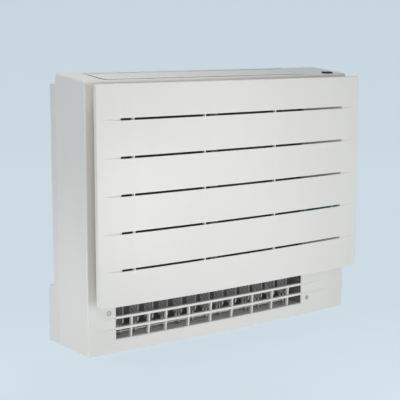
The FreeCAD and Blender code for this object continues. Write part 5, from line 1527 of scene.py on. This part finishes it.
@dataclass
class WindowAssembly(Assembly):
    """The dark window and the dark button in the top, and the screws beside the grille."""

    window_x: Span = (0.312, 0.327)
    button_x: Span = (0.329, 0.338)
    y: Span = (-0.0475, -0.0315)
    radii: Span = (0.004, 0.0035)
    rise: float = 0.003
    depths: Span = (0.0075, 0.008)
    edge: float = 0.0007
    head_radius: float = 0.0046
    head: Span = (0.0003, 0.0022)
    head_round: Span = (0.001, 0.0009)
    shank: Span = (0.0022, 0.0117)
    cross: Point = (0.0026, 0.0004, 0.0013)

    def key(self, name: str, x: Span, radius: float, depth: float) -> Piece:
        """A rounded plate whose face stands a little above the sloping top.

        Args:
            name: object name.
            x: left and right ends.
            radius: corner radius.
            depth: height of the plate.

        Returns:
            The plate.
        """
        form = self.form
        level = form.top_z(sum(self.y) / 2) - depth
        plate = tablet(name, (x, self.y, (level, form.top)), radius, segments=8)
        lid = (0, form.top_rear, form.top + self.rise / math.cos(form.slope))
        bisect(plate, lid, form.top_normal, True)
        bevel(plate, lambda edge: sharp(edge) and middle(edge).z > level + depth, self.edge, segments=3)
        return plate

    def screw(self, x: float, z: float) -> Piece:
        """A pan-head screw with a cross recess.

        Args:
            x: its place along X.
            z: its height.

        Returns:
            The screw.
        """
        front = self.form.casing_y(x)
        face, back = (front + depth for depth in self.head)
        head = rod("screw", self.head_radius, (x, face, z), (x, back, z), MIDDLING)
        zone, radius = self.head_round
        bevel(head, lambda edge: sharp(edge) and middle(edge).y < front + zone, radius, segments=3)
        arm, half, depth = self.cross
        for wide, high in ((arm, half), (half, arm)):
            slot = block("slot", (x - wide, x + wide), (front - CLEAR, front + depth), (z - high, z + high))
            carve(head, [slot])
        radius, depth = self.shank
        return unite("screw", [head, rod("shank", radius, (x, back, z), (x, front + depth, z), SLIM)])

    def build(self) -> None:
        """Models and hands over the window, the button and the screws."""
        window = self.key("window_lens", self.window_x, self.radii[0], self.depths[0])
        self.hand_over(window, Body.CABINET.value, "dark_window", "display_window")
        button = self.key("power_key", self.button_x, self.radii[1], self.depths[1])
        self.hand_over(button, Body.BUTTON.value, "dark_window", "power_button")
        screws = unite("front_screws", [self.screw(x, z) for x, z in self.form.screws])
        self.hand_over(screws, Body.CABINET.value, "screw_steel", "casing_screws")


# Studio


@dataclass(frozen=True)
class Lamp:
    """A rectangular soft light."""

    name: str
    place: Point
    target: Point
    size: Span
    power: float

    def hang(self) -> None:
        """Adds the light to the scene, aimed at its target."""
        bpy.ops.object.light_add(type="AREA", location=self.place)
        lamp = bpy.context.active_object
        lamp.name = self.name
        lamp.data.shape = "RECTANGLE"
        lamp.data.size, lamp.data.size_y = self.size
        lamp.data.energy = self.power
        lamp.rotation_euler = (Vector(self.target) - Vector(self.place)).to_track_quat("-Z", "Y").to_euler()


@dataclass
class Studio:
    """Floor, lights and the camera at the photo's angle."""

    backdrop: Colour = (0.604, 0.701, 0.768)
    speck: float = 0.985
    glow: float = 0.925
    matt: float = 0.14
    daylight: Colour = (1.0, 0.97, 0.93)
    surround: float = 0.06
    reach: Span = (22.0, 8.0)
    slab: float = 0.1
    wall: float = 16.0
    sweep: float = 5.3
    rim: Point = (24.0, -1.0, 3.5)
    eye: Point = (-1.5058, -1.9517, 0.6773)
    yaw: float = 0.6457
    pitch: float = -0.1524
    lens: float = 95.81
    sensor: float = 36.0
    lamps: tuple[Lamp, ...] = (
        Lamp("key", (0.08, -0.85, 0.20), (0.08, 0.0, 0.20), (0.35, 0.35), 1.6),
        Lamp("level_left", (-1.55, -2.0, 0.35), (-0.36, -0.05, 0.30), (0.6, 0.6), 5.0),
        Lamp("high_left", (-1.3, -1.8, 1.4), (-0.3, -0.05, 0.30), (0.8, 0.8), 6.6),
        Lamp("sheen", (1.25, -2.1, 0.5), (-0.1, 0.0, 0.35), (0.5, 1.6), 5.0),
        Lamp("low_side", (-0.80, 0.0, 0.08), (-0.375, 0.0, 0.06), (0.3, 0.12), 0.52),
        Lamp("top", (-0.55, 0.0, 1.5), (-0.25, 0.0, 0.60), (0.4, 0.3), 4.0),
        Lamp("top_front", (-0.45, -0.75, 1.75), (-0.15, 0.0, 0.58), (0.8, 0.5), 3.2),
    )

    def floor(self) -> None:
        """Adds a pale floor that sweeps up into a wall behind the object, and a low rim far around it."""
        near_end, far_end = self.reach
        ground = block("floor", (-self.wall, self.wall), (-near_end, far_end), (-self.slab, 0.0))
        drop_faces(ground, lambda face: face.normal.z < ALONG)
        with editing(ground):
            pick(ground, Part.EDGE, lambda edge: crosswise(edge, far_end, 0.0))
            bpy.ops.mesh.extrude_region_move(TRANSFORM_OT_translate={"value": (0.0, 0.0, self.wall)})
        bevel(ground, lambda edge: crosswise(edge, far_end, 0.0), self.sweep, segments=24)
        far, low, high = self.rim
        rim = block("rim", (-far, far), (-far, far), (low, high))
        drop_faces(rim, lambda face: abs(face.normal.z) > ALONG)
        ground = unite("floor", [ground, rim])
        ground.rotation_euler = (0.0, 0.0, -self.yaw)
        smooth(settle(ground, "floor"))
        bench = NodeBench("pale_floor")
        speck = bench.noise(14.0, 4.0)
        darker = tint(self.backdrop, self.speck)
        dull, duller = (tint(colour, self.matt) for colour in (self.backdrop, darker))
        bench.set(Base_Color=bench.blend(speck, dull, duller), Roughness=0.85)
        bench.set(Emission_Color=bench.blend(speck, self.backdrop, darker), Emission_Strength=self.glow)
        ground.data.materials.append(bench.material)

    def light(self) -> None:
        """Adds the soft lights and an even surround."""
        scene = bpy.context.scene
        scene.world = bpy.data.worlds.new("studio")
        scene.world.use_nodes = True
        around = scene.world.node_tree.nodes["Background"].inputs
        around["Color"].default_value = (*self.daylight, 1.0)
        around["Strength"].default_value = self.surround
        scene.view_settings.view_transform = "Standard"
        for lamp in self.lamps:
            lamp.hang()

    def camera(self) -> None:
        """Adds the camera."""
        upright = math.pi / 2 + self.pitch
        bpy.ops.object.camera_add(location=self.eye, rotation=(upright, 0.0, -self.yaw))
        camera = bpy.context.active_object
        camera.data.lens = self.lens
        camera.data.sensor_width = self.sensor
        bpy.context.scene.camera = camera

    def build(self) -> None:
        """Sets the whole studio up."""
        self.floor()
        self.light()
        self.camera()


def main() -> None:
    """Builds the sub-assemblies in order."""
    logging.basicConfig(level=logging.INFO, format="%(name)s: %(message)s")
    bpy.ops.object.select_all(action="DESELECT")
    form, paints = Form(), Paintbox()
    for kind in (Carried, PanelAssembly, CasingAssembly, GrilleAssembly, FlapAssembly, LouverAssembly,
                 RearAssembly, WindowAssembly):
        kind(form, paints).build()
    Studio().build()
    LOG.info("sizes written")


if __name__ == "__main__":
    main()
